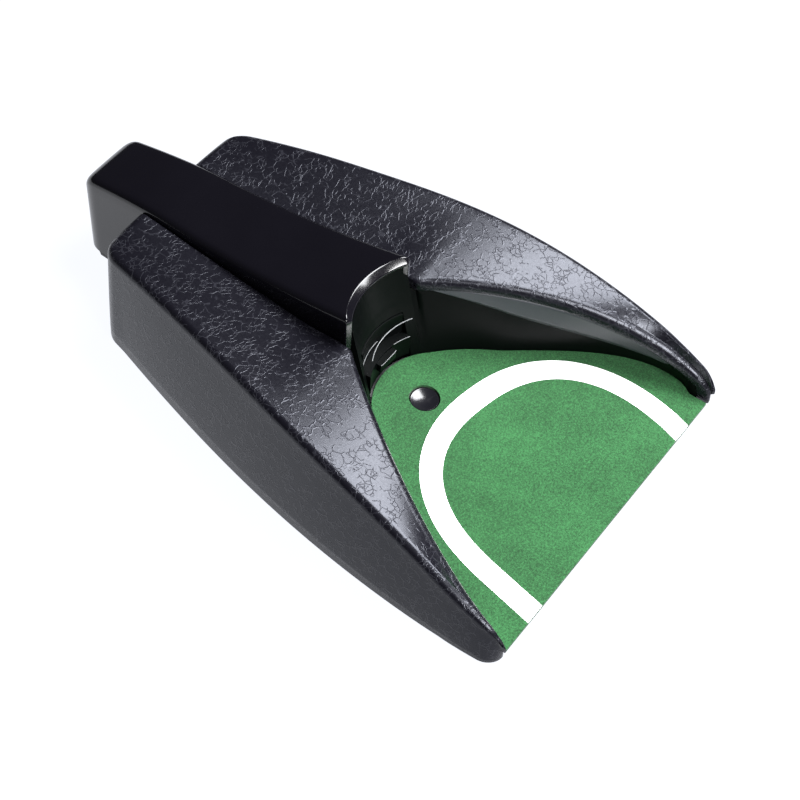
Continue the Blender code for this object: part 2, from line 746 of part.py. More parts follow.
def sloping_sheet(name, outline, holes, low, high, look, group=None):
    """Flat sheet that climbs towards the back with the ramp, its edges and holes upright."""
    sheet = plate(name, outline, low, high, look, group, holes=holes)
    middle = (low + high) / 2
    for vert in sheet.data.vertices:
        vert.co.z += RAMP_SLOPE * vert.co.y
    sheet.location.z = middle * MM
    return sheet


# ---------------------------------------------------------------- trigger

def trigger(cap_look, spring_look, switch_look):
    """Button in the mat's hole, its spring, and the small switch under it."""
    y = HOLE_Y
    top = mat_z(y)
    profile = [(0.0, top - 0.5), (2.6, top - 0.65), (5.0, top - 1.1), (6.6, top - 1.8), (7.2, top - 2.6),
               (7.2, 9.4), (5.4, 9.2), (5.4, 8.8), (9.2, 8.7), (9.2, 7.7), (0.0, 7.7)]
    turned("trigger_button", profile, cap_look, (0.0, y, 0.0), sides=32)
    coil = coil_points(5.2, ON_BASE + 0.5, 7.1, 2.6, 12, "Z", (0.0, y))
    tube("trigger_spring", coil, 0.4, spring_look, sides=0)
    switch = box("trigger_switch", (-2.9, y - 2.9, ON_BASE), (2.9, y + 2.9, 5.9), switch_look)
    cut(switch, cylinder("switch_pip", 1.6, 5.0, 6.25, at=(0.0, y), group=CUTTERS, sides=16), "UNION")


def coil_points(radius, low, high, turns, per_turn, axis, at):
    """Points along a coil about an axis; at holds the axis's other two coordinates."""
    count = int(turns * per_turn)
    points = []
    for i in range(count + 1):
        turn = 2 * math.pi * i / per_turn
        along = low + (high - low) * i / count
        u = at[0] + radius * math.cos(turn)
        v = at[1] + radius * math.sin(turn)
        points.append({"X": (along, u, v), "Y": (u, along, v), "Z": (u, v, along)}[axis])
    return points


# ---------------------------------------------------------------- kicker

def kicker_paddle(look):
    """Face that pushes the ball out: a lower tier level with the wall, a recessed upper tier,
    a tab in the middle, and ears that stop it behind the wall."""
    front = [arc_point(CUP_BACK_CENTRE, CUP_BACK_RADIUS + 0.6, math.radians(a))
             for a in (-28.6, -21.0, -14.0, -7.0, 0.0, 7.0, 14.0, 21.0, 28.6)]
    front[0] = (-PADDLE_HALF, front[0][1])
    front[-1] = (PADDLE_HALF, front[-1][1])
    lower = front + [(PADDLE_HALF, PADDLE_BACK), (-PADDLE_HALF, PADDLE_BACK)]
    upper = [(x, y + 5.0) for x, y in front] + [(PADDLE_HALF, PADDLE_BACK), (-PADDLE_HALF, PADDLE_BACK)]
    paddle = plate("kicker_paddle", lower, PADDLE_BOTTOM, PADDLE_STEP, look)
    cut(paddle, plate("paddle_upper", upper, PADDLE_STEP - 1.0, PADDLE_TOP, group=CUTTERS), "UNION")
    cut(paddle, box("paddle_tab", (-6.6, 131.9, 22.2), (6.6, 140.0, 27.2), group=CUTTERS), "UNION")
    cut(paddle, box("paddle_ears", (-19.4, PADDLE_BACK - 0.6, 16.2), (19.4, EAR_BACK, 28.0), group=CUTTERS),
        "UNION")
    for side in (-1, 1):
        cut(paddle, cylinder(f"rod_socket_{side + 1}", ROD_RADIUS + 0.12, 145.0, 152.0, "Y",
                             (side * ROD_X, ROD_Z), group=CUTTERS, sides=20))
    return paddle


def kicker_rack(look):
    """Toothed bar behind the paddle, in mesh with the sector gear."""
    pitch = math.pi * RACK_MODULE
    root = RACK_PITCH_Z - 1.15 * RACK_MODULE
    tip = RACK_PITCH_Z + 0.9 * RACK_MODULE
    outline = [(EAR_BACK + GAP, 14.6), (224.0, 14.6), (224.0, root)]
    for k in range(5, -9, -1):
        centre = SECTOR_AXIS[0] + (k - 0.5) * pitch
        for share, z in ((0.29, root), (0.11, tip), (-0.11, tip), (-0.29, root)):
            outline.append((centre + share * pitch, z))
    outline.append((EAR_BACK + GAP, root))
    return plate("kicker_rack", outline, -4.0, 4.0, look, facing="X")


def kicker_guides(steel, bronze, plastic):
    """Two rods on the kicker, the bracket they slide in, its bushes, and the return springs."""
    for side, name in ((-1, "left"), (1, "right")):
        cylinder(f"{name}_guide_rod", ROD_RADIUS, 145.3, ROD_END, "Y", (side * ROD_X, ROD_Z), steel, sides=20)
        coil = coil_points(2.5, EAR_BACK + 0.7, BRACKET[0] - 0.8, 6.0, 10, "Y", (side * ROD_X, ROD_Z))
        tube(f"{name}_kicker_spring", coil, 0.4, steel, sides=0)
        bush = cylinder(f"{name}_guide_bush", 2.9, BRACKET[0] + 0.1, BRACKET[1] + 1.2, "Y",
                        (side * ROD_X, ROD_Z), bronze, sides=20)
        cut(bush, cylinder(f"{name}_bush_bore", ROD_RADIUS + 0.12, 170.0, 190.0, "Y",
                           (side * ROD_X, ROD_Z), group=CUTTERS, sides=20))
    outline = [(-20.0, ON_BASE), (20.0, ON_BASE), (20.0, 27.0), (5.2, 27.0), (5.2, 12.6), (-5.2, 12.6),
               (-5.2, 27.0), (-20.0, 27.0)]
    holes = [disc(3.0, 20, (side * ROD_X, ROD_Z)) for side in (-1, 1)]
    bracket = plate("guide_bracket", outline, -2.5, 2.5, plastic, holes=holes)
    bracket.rotation_euler = (math.pi / 2, 0.0, 0.0)
    bracket.location = (0.0, (BRACKET[0] + BRACKET[1]) / 2 * MM, 0.0)


# ---------------------------------------------------------------- gear train

def gear_outline(teeth, module, phase, toothed=None):
    """Straight-sided teeth about the origin; phase is the angle of one tooth's centre, and
    toothed gives the arc that has teeth, in degrees, where the rest is blank."""
    pitch = 2 * math.pi / teeth
    root = module * (teeth / 2 - 1.15)
    tip = module * (teeth / 2 + 0.9)
    outline = []
    for k in range(teeth):
        centre = phase + k * pitch
        degrees = math.degrees(centre) % 360.0
        whole = toothed is None or (degrees - toothed[0]) % 360.0 <= toothed[1] - toothed[0]
        for share, radius in ((-0.29, root), (-0.11, tip), (0.11, tip), (0.29, root)):
            reach = radius if whole else root
            turn = centre + share * pitch
            outline.append((reach * math.cos(turn), reach * math.sin(turn)))
    return outline


def compound_gear(name, axis, wheel, pinion, hub, look, toothed=None):
    """Wheel and pinion in one moulding; each is (teeth, module, phase, X from, X to)."""
    bore = [disc(BORE_RADIUS, 20)]
    teeth, module, phase, low, high = wheel
    gear = plate(name, gear_outline(teeth, module, phase), low, high, look, holes=bore,
                 facing="X", at=axis)
    teeth, module, phase, low, high = pinion
    small = plate(name + "_pinion", gear_outline(teeth, module, phase, toothed), low, high, holes=bore,
                  facing="X", at=axis, group=CUTTERS)
    cut(gear, small, "UNION")
    if hub:
        cut(gear, plate(name + "_hub", disc(hub[0], 20), hub[1], hub[2], holes=bore, facing="X", at=axis,
                        group=CUTTERS), "UNION")
    return gear


def facing_gap(teeth, direction):
    """Phase that puts a gap of this gear on the line towards its driver."""
    return math.radians(direction + 180.0) + math.pi / teeth


def gear_train(plastic, wheel_look, steel, brass):
    """Sector gear over the rack, two reduction gears, the motor's pinion, and their axles."""
    compound_gear("sector_gear", SECTOR_AXIS,
                  (FINAL_TEETH, GEAR_MODULE, facing_gap(FINAL_TEETH, SECTOR_TO_SECOND + 180.0), 5.2, 8.2),
                  (SECTOR_TEETH, RACK_MODULE, -math.pi / 2, -4.2, 5.4), None, wheel_look,
                  toothed=(148.0, 337.0))
    compound_gear("second_gear", SECOND_AXIS,
                  (WHEEL_TEETH, GEAR_MODULE, facing_gap(WHEEL_TEETH, SECOND_TO_FIRST + 180.0), -8.2, -5.2),
                  (PINION_TEETH, GEAR_MODULE, math.radians(SECTOR_TO_SECOND + 180.0), 5.0, 8.4),
                  (3.0, -5.4, 5.2), plastic)
    compound_gear("first_gear", FIRST_AXIS,
                  (WHEEL_TEETH, GEAR_MODULE, facing_gap(WHEEL_TEETH, FIRST_TO_MOTOR + 180.0), 9.0, 11.4),
                  (PINION_TEETH, GEAR_MODULE, math.radians(SECOND_TO_FIRST + 180.0), -8.4, -5.0),
                  (3.0, -5.2, 9.2), wheel_look)
    for name, axis in (("sector_axle", SECTOR_AXIS), ("second_axle", SECOND_AXIS), ("first_axle", FIRST_AXIS)):
        cylinder(name, AXLE_RADIUS, LEFT_PLATE[0] - 0.4, RIGHT_PLATE[1] + 0.4, "X", axis, steel, sides=20)
    pinion = plate("motor_pinion", gear_outline(MOTOR_TEETH, GEAR_MODULE, math.radians(FIRST_TO_MOTOR + 180.0)),
                   8.9, 11.6, brass, facing="X", at=MOTOR_AXIS)
    cut(pinion, cylinder("motor_shaft", 1.0, 1.0, 11.9, "X", MOTOR_AXIS, group=CUTTERS, sides=16), "UNION")


def gearbox(plastic, steel):
    """Two side plates, with the posts on the left one, and the screws of the right one."""
    outline = [(196.0, 26.0), (214.5, 26.0), (214.5, ON_BASE), (229.0, ON_BASE), (229.0, 11.0),
               (243.0, 11.0), (243.0, ON_BASE), (268.0, ON_BASE), (268.0, 44.0), (250.0, 52.0),
               (218.0, 58.0), (205.0, 58.0), (196.0, 46.0)]
    holes = [disc(AXLE_RADIUS + 0.1, 20, axis) for axis in (SECTOR_AXIS, SECOND_AXIS, FIRST_AXIS)]
    motor_hole = disc(8.0, 32, MOTOR_AXIS)
    posts = ((209.0, 55.0), (245.0, 50.5), (264.0, 10.0))
    screws = [disc(1.3, 12, post) for post in posts]
    left = plate("left_gearbox_plate", outline, *LEFT_PLATE, plastic, holes=holes + [motor_hole], facing="X")
    plate("right_gearbox_plate", outline, *RIGHT_PLATE, plastic, holes=holes + screws, facing="X")
    for i, post in enumerate(posts):
        cut(left, cylinder(f"post_{i}", 2.2, LEFT_PLATE[1] - 0.5, RIGHT_PLATE[0] - GAP, "X", post,
                           group=CUTTERS, sides=16), "UNION")
        cut(left, cylinder(f"post_pilot_{i}", 1.3, RIGHT_PLATE[0] - 8.0, RIGHT_PLATE[0] + 1.0, "X", post,
                           group=CUTTERS, sides=12))
        screw = cylinder(f"gearbox_screw_{i + 1}", 1.0, RIGHT_PLATE[0] - 6.0, RIGHT_PLATE[1] + 0.8, "X", post,
                         look=steel, sides=12)
        cut(screw, cylinder(f"gearbox_head_{i}", 2.1, RIGHT_PLATE[1] + GAP, RIGHT_PLATE[1] + 1.6, "X", post,
                            group=CUTTERS, sides=16), "UNION")


def motor(can_look, cap_look):
    """Small flat-sided motor through the left plate, with its end cap."""
    y, z = MOTOR_AXIS
    can = cylinder("motor_can", 7.75, -15.5, 2.5, "X", MOTOR_AXIS, can_look, sides=32)
    flat = 6.2
    for i, sign in enumerate((-1, 1)):
        low = z + flat if sign > 0 else z - 12.0
        cut(can, box(f"motor_flat_{i}", (-20.0, y - 12.0, low), (6.0, y + 12.0, low + 12.0 - flat),
                     group=CUTTERS))
    cut(can, cylinder("motor_nose", 2.6, 2.0, 3.6, "X", MOTOR_AXIS, group=CUTTERS, sides=20), "UNION")
    cut(can, cylinder("motor_bore", 1.15, 0.5, 6.0, "X", MOTOR_AXIS, group=CUTTERS, sides=16))
    cap = cylinder("motor_end_cap", 5.9, -16.6, -15.7, "X", MOTOR_AXIS, cap_look, sides=24)
    return can, cap


# ---------------------------------------------------------------- power and control

def battery_bay(holder_look, cell_look, steel, door_look):
    """Holder over the opening in the base, two AA cells, their contacts, and the door."""
    low = (BAY_X[0] - 1.6, BAY_Y[0] - 1.6, ON_BASE)
    high = (BAY_X[1] + 1.6, BAY_Y[1] + 2.2, CELL_Z + CELL_RADIUS + 2.0)
    holder = box("battery_holder", low, high, holder_look)
    cut(holder, box("holder_hollow", (BAY_X[0] + 0.2, BAY_Y[0] + 0.2, -2.0),
                    (BAY_X[1] - 0.2, BAY_Y[1] + 0.4, CELL_Z + CELL_RADIUS + 0.5), group=CUTTERS))
    for i, x in enumerate(CELL_X):
        ahead = i == 0
        start = CELL_START if ahead else CELL_START + 1.6
        end = start + CELL_LENGTH
        cell = cylinder(f"battery_{i + 1}", CELL_RADIUS, start, end - 1.2, "Y", (x, CELL_Z), cell_look, sides=28)
        tip = (end - 1.5, end) if ahead else (start - 1.0, start + 0.3)
        cut(cell, cylinder(f"battery_tip_{i}", 2.7, *tip, "Y", (x, CELL_Z), group=CUTTERS, sides=16), "UNION")
        front = (BAY_Y[0] + 1.6, start - 0.7) if ahead else (end - 0.7, BAY_Y[1] - 1.0)
        coil = coil_points(3.6, *front, 2.5, 10, "Y", (x, CELL_Z))
        tube(f"battery_spring_{i + 1}", coil, 0.4, steel, sides=0)
        flat_at = end + 0.4 if ahead else start - 2.4
        box(f"battery_contact_{i + 1}", (x - 5.0, flat_at, CELL_Z - 5.0), (x + 5.0, flat_at + 0.6, CELL_Z + 5.0),
            steel)
    door = box("battery_door", (BAY_X[0] + 0.3, BAY_Y[0] + 0.3, 1.3), (BAY_X[1] - 0.3, BAY_Y[1] - 0.1, 2.9),
                 door_look)
    hinge_at(door, (0.0, *DOOR_HINGE))
    for i in range(5):
        y = 174.0 + 3.2 * i
        cut(door, box(f"grip_{i}", (-54.0, y, 1.0), (-38.0, y + 1.4, 1.8), group=CUTTERS))


def hinge_at(item, point):
    """Move an object's origin to a point, leaving its shape where it is."""
    target = Matrix.Translation([value * MM for value in point])
    item.data.transform(target.inverted() @ item.matrix_basis)
    item.matrix_basis = target


def control_board(board_look, dark_look, steel):
    """Circuit board on its posts, with its relay and its capacitor."""
    low = (BOARD_X[0], BOARD_Y[0], BOARD_Z)
    high = (BOARD_X[1], BOARD_Y[1], BOARD_Z + 1.6)
    box("control_board", low, high, board_look)
    top = BOARD_Z + 1.6 + 0.2
    box("board_relay", (35.0, 178.0, top), (45.0, 190.0, top + 8.0), dark_look)
    cylinder("board_capacitor", 3.2, top, top + 9.0, at=(52.0, 185.0), look=steel, sides=20)


def power_switch(dark_look, steel):
    """Slide switch: its body on the base, and the knob in a slot under the part."""
    box("power_switch_body", (SWITCH_X - 5.0, SWITCH_Y - 3.6, ON_BASE), (SWITCH_X + 8.6, SWITCH_Y + 3.6, 9.4),
        steel)
    knob = box("power_switch_knob", (SWITCH_X - 2.2, SWITCH_Y - 2.0, 1.5), (SWITCH_X + 2.2, SWITCH_Y + 2.0, 3.5),
               dark_look)
    for i in range(3):
        x = SWITCH_X - 1.5 + 1.2 * i
        cut(knob, box(f"knob_rib_{i}", (x, SWITCH_Y - 3.0, 1.0), (x + 0.6, SWITCH_Y + 3.0, 1.9), group=CUTTERS))


# ---------------------------------------------------------------- fasteners and feet

def case_screw(name, at, tip, look):
    """Screw up through the base, its head sunk into it."""
    profile = [(0.0, tip), (SCREW_SHANK, tip - 0.6), (SCREW_SHANK, 2.5), (SCREW_HEAD, 2.4), (SCREW_HEAD, 1.5),
               (0.0, 1.5)]
    turned(name, profile, look, (*at, 0.0), sides=12)


def case_screws(look):
    """Screws into the wings, the ramp's posts and the middle housing."""
    for kind, places in (("wing", WING_BOSSES), ("ramp", RAMP_POSTS), ("cover", TUNNEL_BOSSES)):
        for i, (x, y) in enumerate(both(places)):
            tip = ramp_z(y) - RAMP_THICK - 1.5 if kind == "ramp" else 12.0
            case_screw(f"{kind}_screw_{i + 1}", (x, y), tip, look)


def rubber_feet(look):
    """Round feet: two under the front of the ramp and two under the back of the base."""
    for i, spot in enumerate(both(FEET)):
        cylinder(f"rubber_foot_{i + 1}", 6.0, 0.0, FOOT, at=spot, look=look, sides=24)


clear_scene()
PARTS = collection("putting_cup")
CUTTERS = collection("putting_cup_cutters")
FRAME = bpy.data.objects.new("putting_cup_frame", None)
PARTS.objects.link(FRAME)
FRAME.location = (0.0, -LENGTH / 2 * MM, 0.0)
BACK_POINT = Matrix.Translation((0.0, 138.0 * MM, 55.0 * MM)).to_translation()

GRAINED = material("grained_black_plastic", (0.030, 0.031, 0.036), 0.42)
SMOOTH = material("smooth_black_plastic", (0.012, 0.012, 0.016), 0.18)
LINER = material("liner_black_plastic", (0.014, 0.017, 0.016), 0.16)
DULL = material("dull_black_plastic", (0.020, 0.020, 0.021), 0.55)
GREEN = material("green_felt", (0.045, 0.300, 0.080), 0.95)
WHITE = material("white_felt", (0.900, 0.900, 0.890), 0.90)
BUTTON = material("button_black_plastic", (0.015, 0.015, 0.017), 0.20)
RUBBER = material("black_rubber", (0.020, 0.020, 0.020), 0.85)
STEEL = material("spring_steel", (0.560, 0.570, 0.580), 0.30, 1.0)
BRONZE = material("bronze_bush", (0.480, 0.310, 0.140), 0.38, 1.0)
BRASS = material("brass", (0.700, 0.520, 0.220), 0.32, 1.0)
NATURAL = material("natural_nylon", (0.780, 0.760, 0.690), 0.50)
WHEEL = material("white_acetal", (0.860, 0.860, 0.840), 0.40)
CELL = material("battery_wrap", (0.090, 0.110, 0.150), 0.35)
BOARD = material("circuit_board", (0.020, 0.160, 0.070), 0.45)

wing_shell("left_wing_shell", -1, GRAINED)
wing_shell("right_wing_shell", 1, GRAINED)
tunnel_cover(SMOOTH)
cup_liner(LINER)
base_plate(DULL)
ramp_plate(DULL)
putting_mat(GREEN)
ring_inlay(WHITE)
trigger(BUTTON, STEEL, NATURAL)
kicker_paddle(SMOOTH)
kicker_rack(NATURAL)
kicker_guides(STEEL, BRONZE, DULL)
gear_train(NATURAL, WHEEL, STEEL, BRASS)
gearbox(DULL, STEEL)
motor(STEEL, NATURAL)
battery_bay(DULL, CELL, STEEL, DULL)
control_board(BOARD, DULL, STEEL)
power_switch(DULL, STEEL)
case_screws(STEEL)
rubber_feet(RUBBER)
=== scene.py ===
"""Looks of the automatic ball-return putting cup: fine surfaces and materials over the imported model."""
import json
import math

import bmesh
import bpy
from mathutils import Matrix, Vector


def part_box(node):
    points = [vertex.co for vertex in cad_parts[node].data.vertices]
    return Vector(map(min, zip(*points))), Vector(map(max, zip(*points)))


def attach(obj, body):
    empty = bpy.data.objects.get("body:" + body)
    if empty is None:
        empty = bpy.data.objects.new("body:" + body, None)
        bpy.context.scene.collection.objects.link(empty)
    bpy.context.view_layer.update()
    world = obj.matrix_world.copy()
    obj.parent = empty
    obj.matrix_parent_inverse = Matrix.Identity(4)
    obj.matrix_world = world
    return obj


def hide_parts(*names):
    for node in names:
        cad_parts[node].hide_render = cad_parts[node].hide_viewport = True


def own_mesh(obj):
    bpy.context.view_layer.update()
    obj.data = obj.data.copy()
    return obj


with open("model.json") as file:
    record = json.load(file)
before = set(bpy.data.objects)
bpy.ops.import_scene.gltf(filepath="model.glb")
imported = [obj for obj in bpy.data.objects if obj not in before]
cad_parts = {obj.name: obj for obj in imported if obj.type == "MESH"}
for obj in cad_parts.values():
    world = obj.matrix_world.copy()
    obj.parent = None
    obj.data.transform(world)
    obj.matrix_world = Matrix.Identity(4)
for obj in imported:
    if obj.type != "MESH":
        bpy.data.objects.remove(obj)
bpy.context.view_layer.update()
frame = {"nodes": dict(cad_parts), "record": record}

MM = 0.001
SHIFT = -156.25  # from the front edge to the origin, along Y
UPRIGHT = math.pi / 2

# Shape, in millimetres from the middle of the front edge
WIDEST = 100.6
WIDEST_AT = 25.0
WING_END = 270.2
WING_CORNER = 11.0
TAPER_RUN = 242.0
WING_BOTTOM = 0.9
SIDE_DRAFT = 4.4
FLANK_SWELL = 4.1
EDGE_SWELL = 1.6
LIP_DROP = 6.5
NOSE = 8.5
TAIL = 312.5
TAIL_RADIUS = 9.0
COVER_BOTTOM = 3.9
COVER_CORNER = 4.0
RIM_RELIEF = 52.0
LIP_CENTRE = 105.2
LIP_RADIUS = 40.0
LIP_BEVEL = 5.0
LIP_TILT = 42.0
LIP_THICK = 5.2
SLOPE = 0.085
MAT_TOP = 3.5
MAT_THICK = 1.6
HOLE_Y = 109.7
HOLE_RADIUS = 7.8
CUP_BACK_CENTRE = 100.5
CUP_BACK_RADIUS = 34.0
WINDOW_HALF = 17.0
WINDOW_TOP = 43.0
SKIRT_FRONT = 22.0
SKIRT_BACK = 130.0
SKIRT_DEPTH = 15.0
PADDLE_HALF = WINDOW_HALF - 0.4
PADDLE_BOTTOM = 15.6
PADDLE_STEP = 29.0
PADDLE_TOP = WINDOW_TOP - 0.5
PADDLE_BACK = 146.0
EAR_BACK = 149.0
PADDLE_ARC = 28.2
TAB_BOTTOM = 22.2
TAB_TOP = 27.2
RING_TURN = 10.0
RING_BACK = 20.0
RING_OUTER = (70.8, 77.8, 2.30, 71.2)
RING_INNER = (59.4, 65.5, 2.45, 59.5)
BUTTON_BOWL = 16.0
BUTTON_TILT = 25.0
BUTTON_FOOT = 7.8


# ---------------------------------------------------------------- shape

def smooth(low, high, value):
    share = min(1.0, max(0.0, (value - low) / (high - low)))
    return share * share * (3.0 - 2.0 * share)


def mix(a, b, share):
    return a + (b - a) * share


def taper_x(y):
    """Half width before the flanks swell."""
    if y < WIDEST_AT:
        return WIDEST - 1.3 * ((WIDEST_AT - y) / WIDEST_AT) ** 2
    return WIDEST - 43.9 * ((y - WIDEST_AT) / TAPER_RUN) ** 1.42


def swell(y, start, end):
    """Bow from 0 at start through 1 in the middle to 0 at end."""
    return math.sin(math.pi * min(1.0, max(0.0, (y - start) / (end - start))))


def outer_x(y):
    """Half width at the foot of the wings."""
    return taper_x(y) + FLANK_SWELL * swell(y, 30.0, 252.0)


def top_edge_x(y):
    """Half width at the wings' outer top edges."""
    return taper_x(y) - SIDE_DRAFT + EDGE_SWELL * swell(y, 40.0, 210.0) ** 2


def top_z(y):
    """Height of a wing along its outer edge."""
    rise = 47.0 * max(0.0, 1.0 - y / 200.0) ** 2.57
    fall = 5.2 * max(0.0, (y - 200.0) / 67.0) ** 2
    return 64.2 - rise - fall


def tunnel_x(y):
    """Half width of the cover."""
    return 25.7 - 0.043 * (y - 140.0)


def tunnel_z(y):
    """Height of the cover, which sweeps up to the lip and down to the tail."""
    if y < 255.0:
        return 62.9 + 12.2 * ((255.0 - y) / 115.0) ** 2.2
    return 62.9 - 7.6 * ((y - 255.0) / (TAIL - 255.0)) ** 1.5


def rim_x(y):
    """Half width between the wings' inner rims, over the cup."""
    return 89.9 - 67.0 * (max(y, 0.0) / 139.6) ** 1.68


def rim_z(y):
    """Height of a wing along its inner edge."""
    if y < 140.0:
        return 57.6 - 45.2 * (1.0 - max(y, 0.0) / 140.0) ** 2
    return 57.6 - 2.0 * smooth(140.0, 165.0, y) + 3.6 * max(0.0, (y - 165.0) / 95.0) ** 1.5


def inner_x(y):
    """Inner edge of a wing: over the cup, then along the cover."""
    return max(rim_x(y), tunnel_x(y) + 0.4)


def floor_x(y):
    """Half width of the cup's floor."""
    reach = 43.0 if y > 37.0 else 32.0
    flare = 7.5 * math.cos(UPRIGHT * (y - 37.0) / reach)
    return rim_x(y) - 0.6 + (flare + 0.6) * smooth(7.5, 16.0, y)


def mat_z(y):
    """Height of the felt on the ramp."""
    return MAT_TOP + SLOPE * y


def arc_point(centre, radius, angle):
    return (radius * math.sin(angle), centre + radius * math.cos(angle))


def cup_side(steps):
    """Places along the right side of the cup: y on the rim, and the point on the floor."""
    last = 137.0
    turn = 98.0
    end = arc_point(CUP_BACK_CENTRE, CUP_BACK_RADIUS, math.radians(44.0))
    places = []
    for i in range(steps + 1):
        y = mix(9.6, last, i / steps)
        if y <= turn:
            places.append((y, (floor_x(y), y)))
        else:
            share = (y - turn) / (last - turn)
            bow = 1.6 * math.sin(math.pi * share)
            places.append((y, (mix(floor_x(turn), end[0], share) + bow * 0.6,
                               mix(turn, end[1], share) + bow * 0.7)))
    return places


def floor_outline(inset, front, steps=70):
    """Closed outline of the cup's floor, drawn in by inset."""
    ahead = max(inset, 0.2)
    right = [(rim_x(0.0) - 0.6 - ahead, front)]
    for i in range(1, 12):
        y = 9.6 * i / 12
        right.append((floor_x(y) - ahead, y))
    for _, (x, y) in cup_side(steps):
        draw = ahead if y < 10.0 else inset * 0.8
        right.append((x - draw, y - inset * 0.5 * smooth(60.0, 110.0, y)))
    for i in range(20):
        turn = math.radians(mix(42.0, 0.0, i / 19))
        right.append(arc_point(CUP_BACK_CENTRE, CUP_BACK_RADIUS - inset, turn))
    return right + [(-x, y) for x, y in reversed(right[:-1])]


# ---------------------------------------------------------------- mesh helpers

def link(name, mesh, look):
    item = bpy.data.objects.new(name, mesh)
    bpy.context.scene.collection.objects.link(item)
    item.data.materials.append(look)
    return item


def at(x, y, z):
    """Place in the model's frame, in metres, of a point in millimetres from the front edge."""
    return (x * MM, (y + SHIFT) * MM, z * MM)


def smooth_by_angle(item, degrees=32.0):
    item.data.shade_smooth()
    item.data.set_sharp_from_angle(angle=math.radians(degrees))
    return item


def grid(name, rows, look, cap_end=False, thick=0.0, outward=(0.0, 0.0, 1.0), cupped=False):
    """Surface through rows of equal point counts, its faces turned to the outward side.

    A cupped surface is told by its deepest faces, any other by its outermost ones."""
    bm = bmesh.new()
    lines = [[bm.verts.new(at(*point)) for point in row] for row in rows]
    for low, high in zip(lines, lines[1:]):
        for i in range(len(low) - 1):
            bm.faces.new((low[i], low[i + 1], high[i + 1], high[i]))
    if cap_end:
        bm.faces.new(lines[-1])
    bmesh.ops.remove_doubles(bm, verts=bm.verts, dist=1e-6)
    bmesh.ops.recalc_face_normals(bm, faces=bm.faces)
    bm.normal_update()
    facing = Vector(outward)
    ranked = sorted(bm.faces, key=lambda face: facing.dot(face.calc_center_median()),
                    reverse=not cupped)
    lean = sum(face.normal.dot(facing) * face.calc_area() for face in ranked[:len(ranked) // 8])
    if lean < 0:
        bmesh.ops.reverse_faces(bm, faces=bm.faces)
    mesh = bpy.data.meshes.new(name)
    bm.to_mesh(mesh)
    bm.free()
    item = link(name, mesh, look)
    if thick:
        solid = item.modifiers.new("Thickness", "SOLIDIFY")
        solid.thickness = thick * MM
        solid.offset = -1.0
    return smooth_by_angle(item)


def evaluated_mesh(item):
    """Mesh of an object with its modifiers applied."""
    bpy.context.view_layer.update()
    return bpy.data.meshes.new_from_object(item.evaluated_get(bpy.context.evaluated_depsgraph_get()))


def curve_mesh(name, curve):
    """Mesh of a curve, which is left out of the scene."""
    holder = bpy.data.objects.new(name + "_curve", curve)
    bpy.context.scene.collection.objects.link(holder)
    mesh = evaluated_mesh(holder)
    bpy.data.objects.remove(holder, do_unlink=True)
    return mesh


def soften(item, width):
    """Small bevel on the sharp edges."""
    soft = item.modifiers.new("Edge", "BEVEL")
    soft.width = width * MM
    soft.segments = 2
    soft.limit_method = "ANGLE"


def sheet(name, outline, low, high, look, holes=(), bevel=0.0, slope=SLOPE):
    """Flat piece from an outline, which climbs with the ramp."""
    curve = bpy.data.curves.new(name, "CURVE")
    curve.dimensions = "2D"
    curve.fill_mode = "BOTH"
    curve.extrude = (high - low) / 2 * MM
    for line in (outline, *holes):
        spline = curve.splines.new("POLY")
        spline.points.add(len(line) - 1)
        spline.use_cyclic_u = True
        for point, (u, v) in zip(spline.points, line):
            point.co = (u * MM, (v + SHIFT) * MM, 0.0, 1.0)
    mesh = curve_mesh(name, curve)
    bm = bmesh.new()
    bm.from_mesh(mesh)
    bmesh.ops.remove_doubles(bm, verts=bm.verts, dist=1e-6)
    bmesh.ops.recalc_face_normals(bm, faces=bm.faces)
    for vert in bm.verts:
        vert.co.z += (low + high) / 2 * MM + slope * (vert.co.y - SHIFT * MM)
    bm.to_mesh(mesh)
    bm.free()
    mesh.materials.clear()
    item = link(name, mesh, look)
    if bevel:
        soften(item, bevel)
    return smooth_by_angle(item)


def box_cutter(low, high):
    """Box between two corners, to cut with."""
    bm = bmesh.new()
    size = [(b - a) * MM for a, b in zip(low, high)]
    middle = at(*[(a + b) / 2 for a, b in zip(low, high)])
    bmesh.ops.create_cube(bm, size=1.0,
                          matrix=Matrix.Translation(middle) @ Matrix.Diagonal((*size, 1.0)))
    mesh = bpy.data.meshes.new("cutter")
    bm.to_mesh(mesh)
    bm.free()
    item = bpy.data.objects.new("cutter", mesh)
    bpy.context.scene.collection.objects.link(item)
    return item


def carve(item, tool, operation="DIFFERENCE"):
    """Boolean, applied, with the tool removed."""
    mod = item.modifiers.new("Carve", "BOOLEAN")
    mod.object = tool
    mod.operation = operation
    mod.solver = "EXACT"
    mesh = evaluated_mesh(item)
    item.modifiers.clear()
    item.data = mesh
    bpy.data.objects.remove(tool, do_unlink=True)
    return smooth_by_angle(item)


# ---------------------------------------------------------------- materials

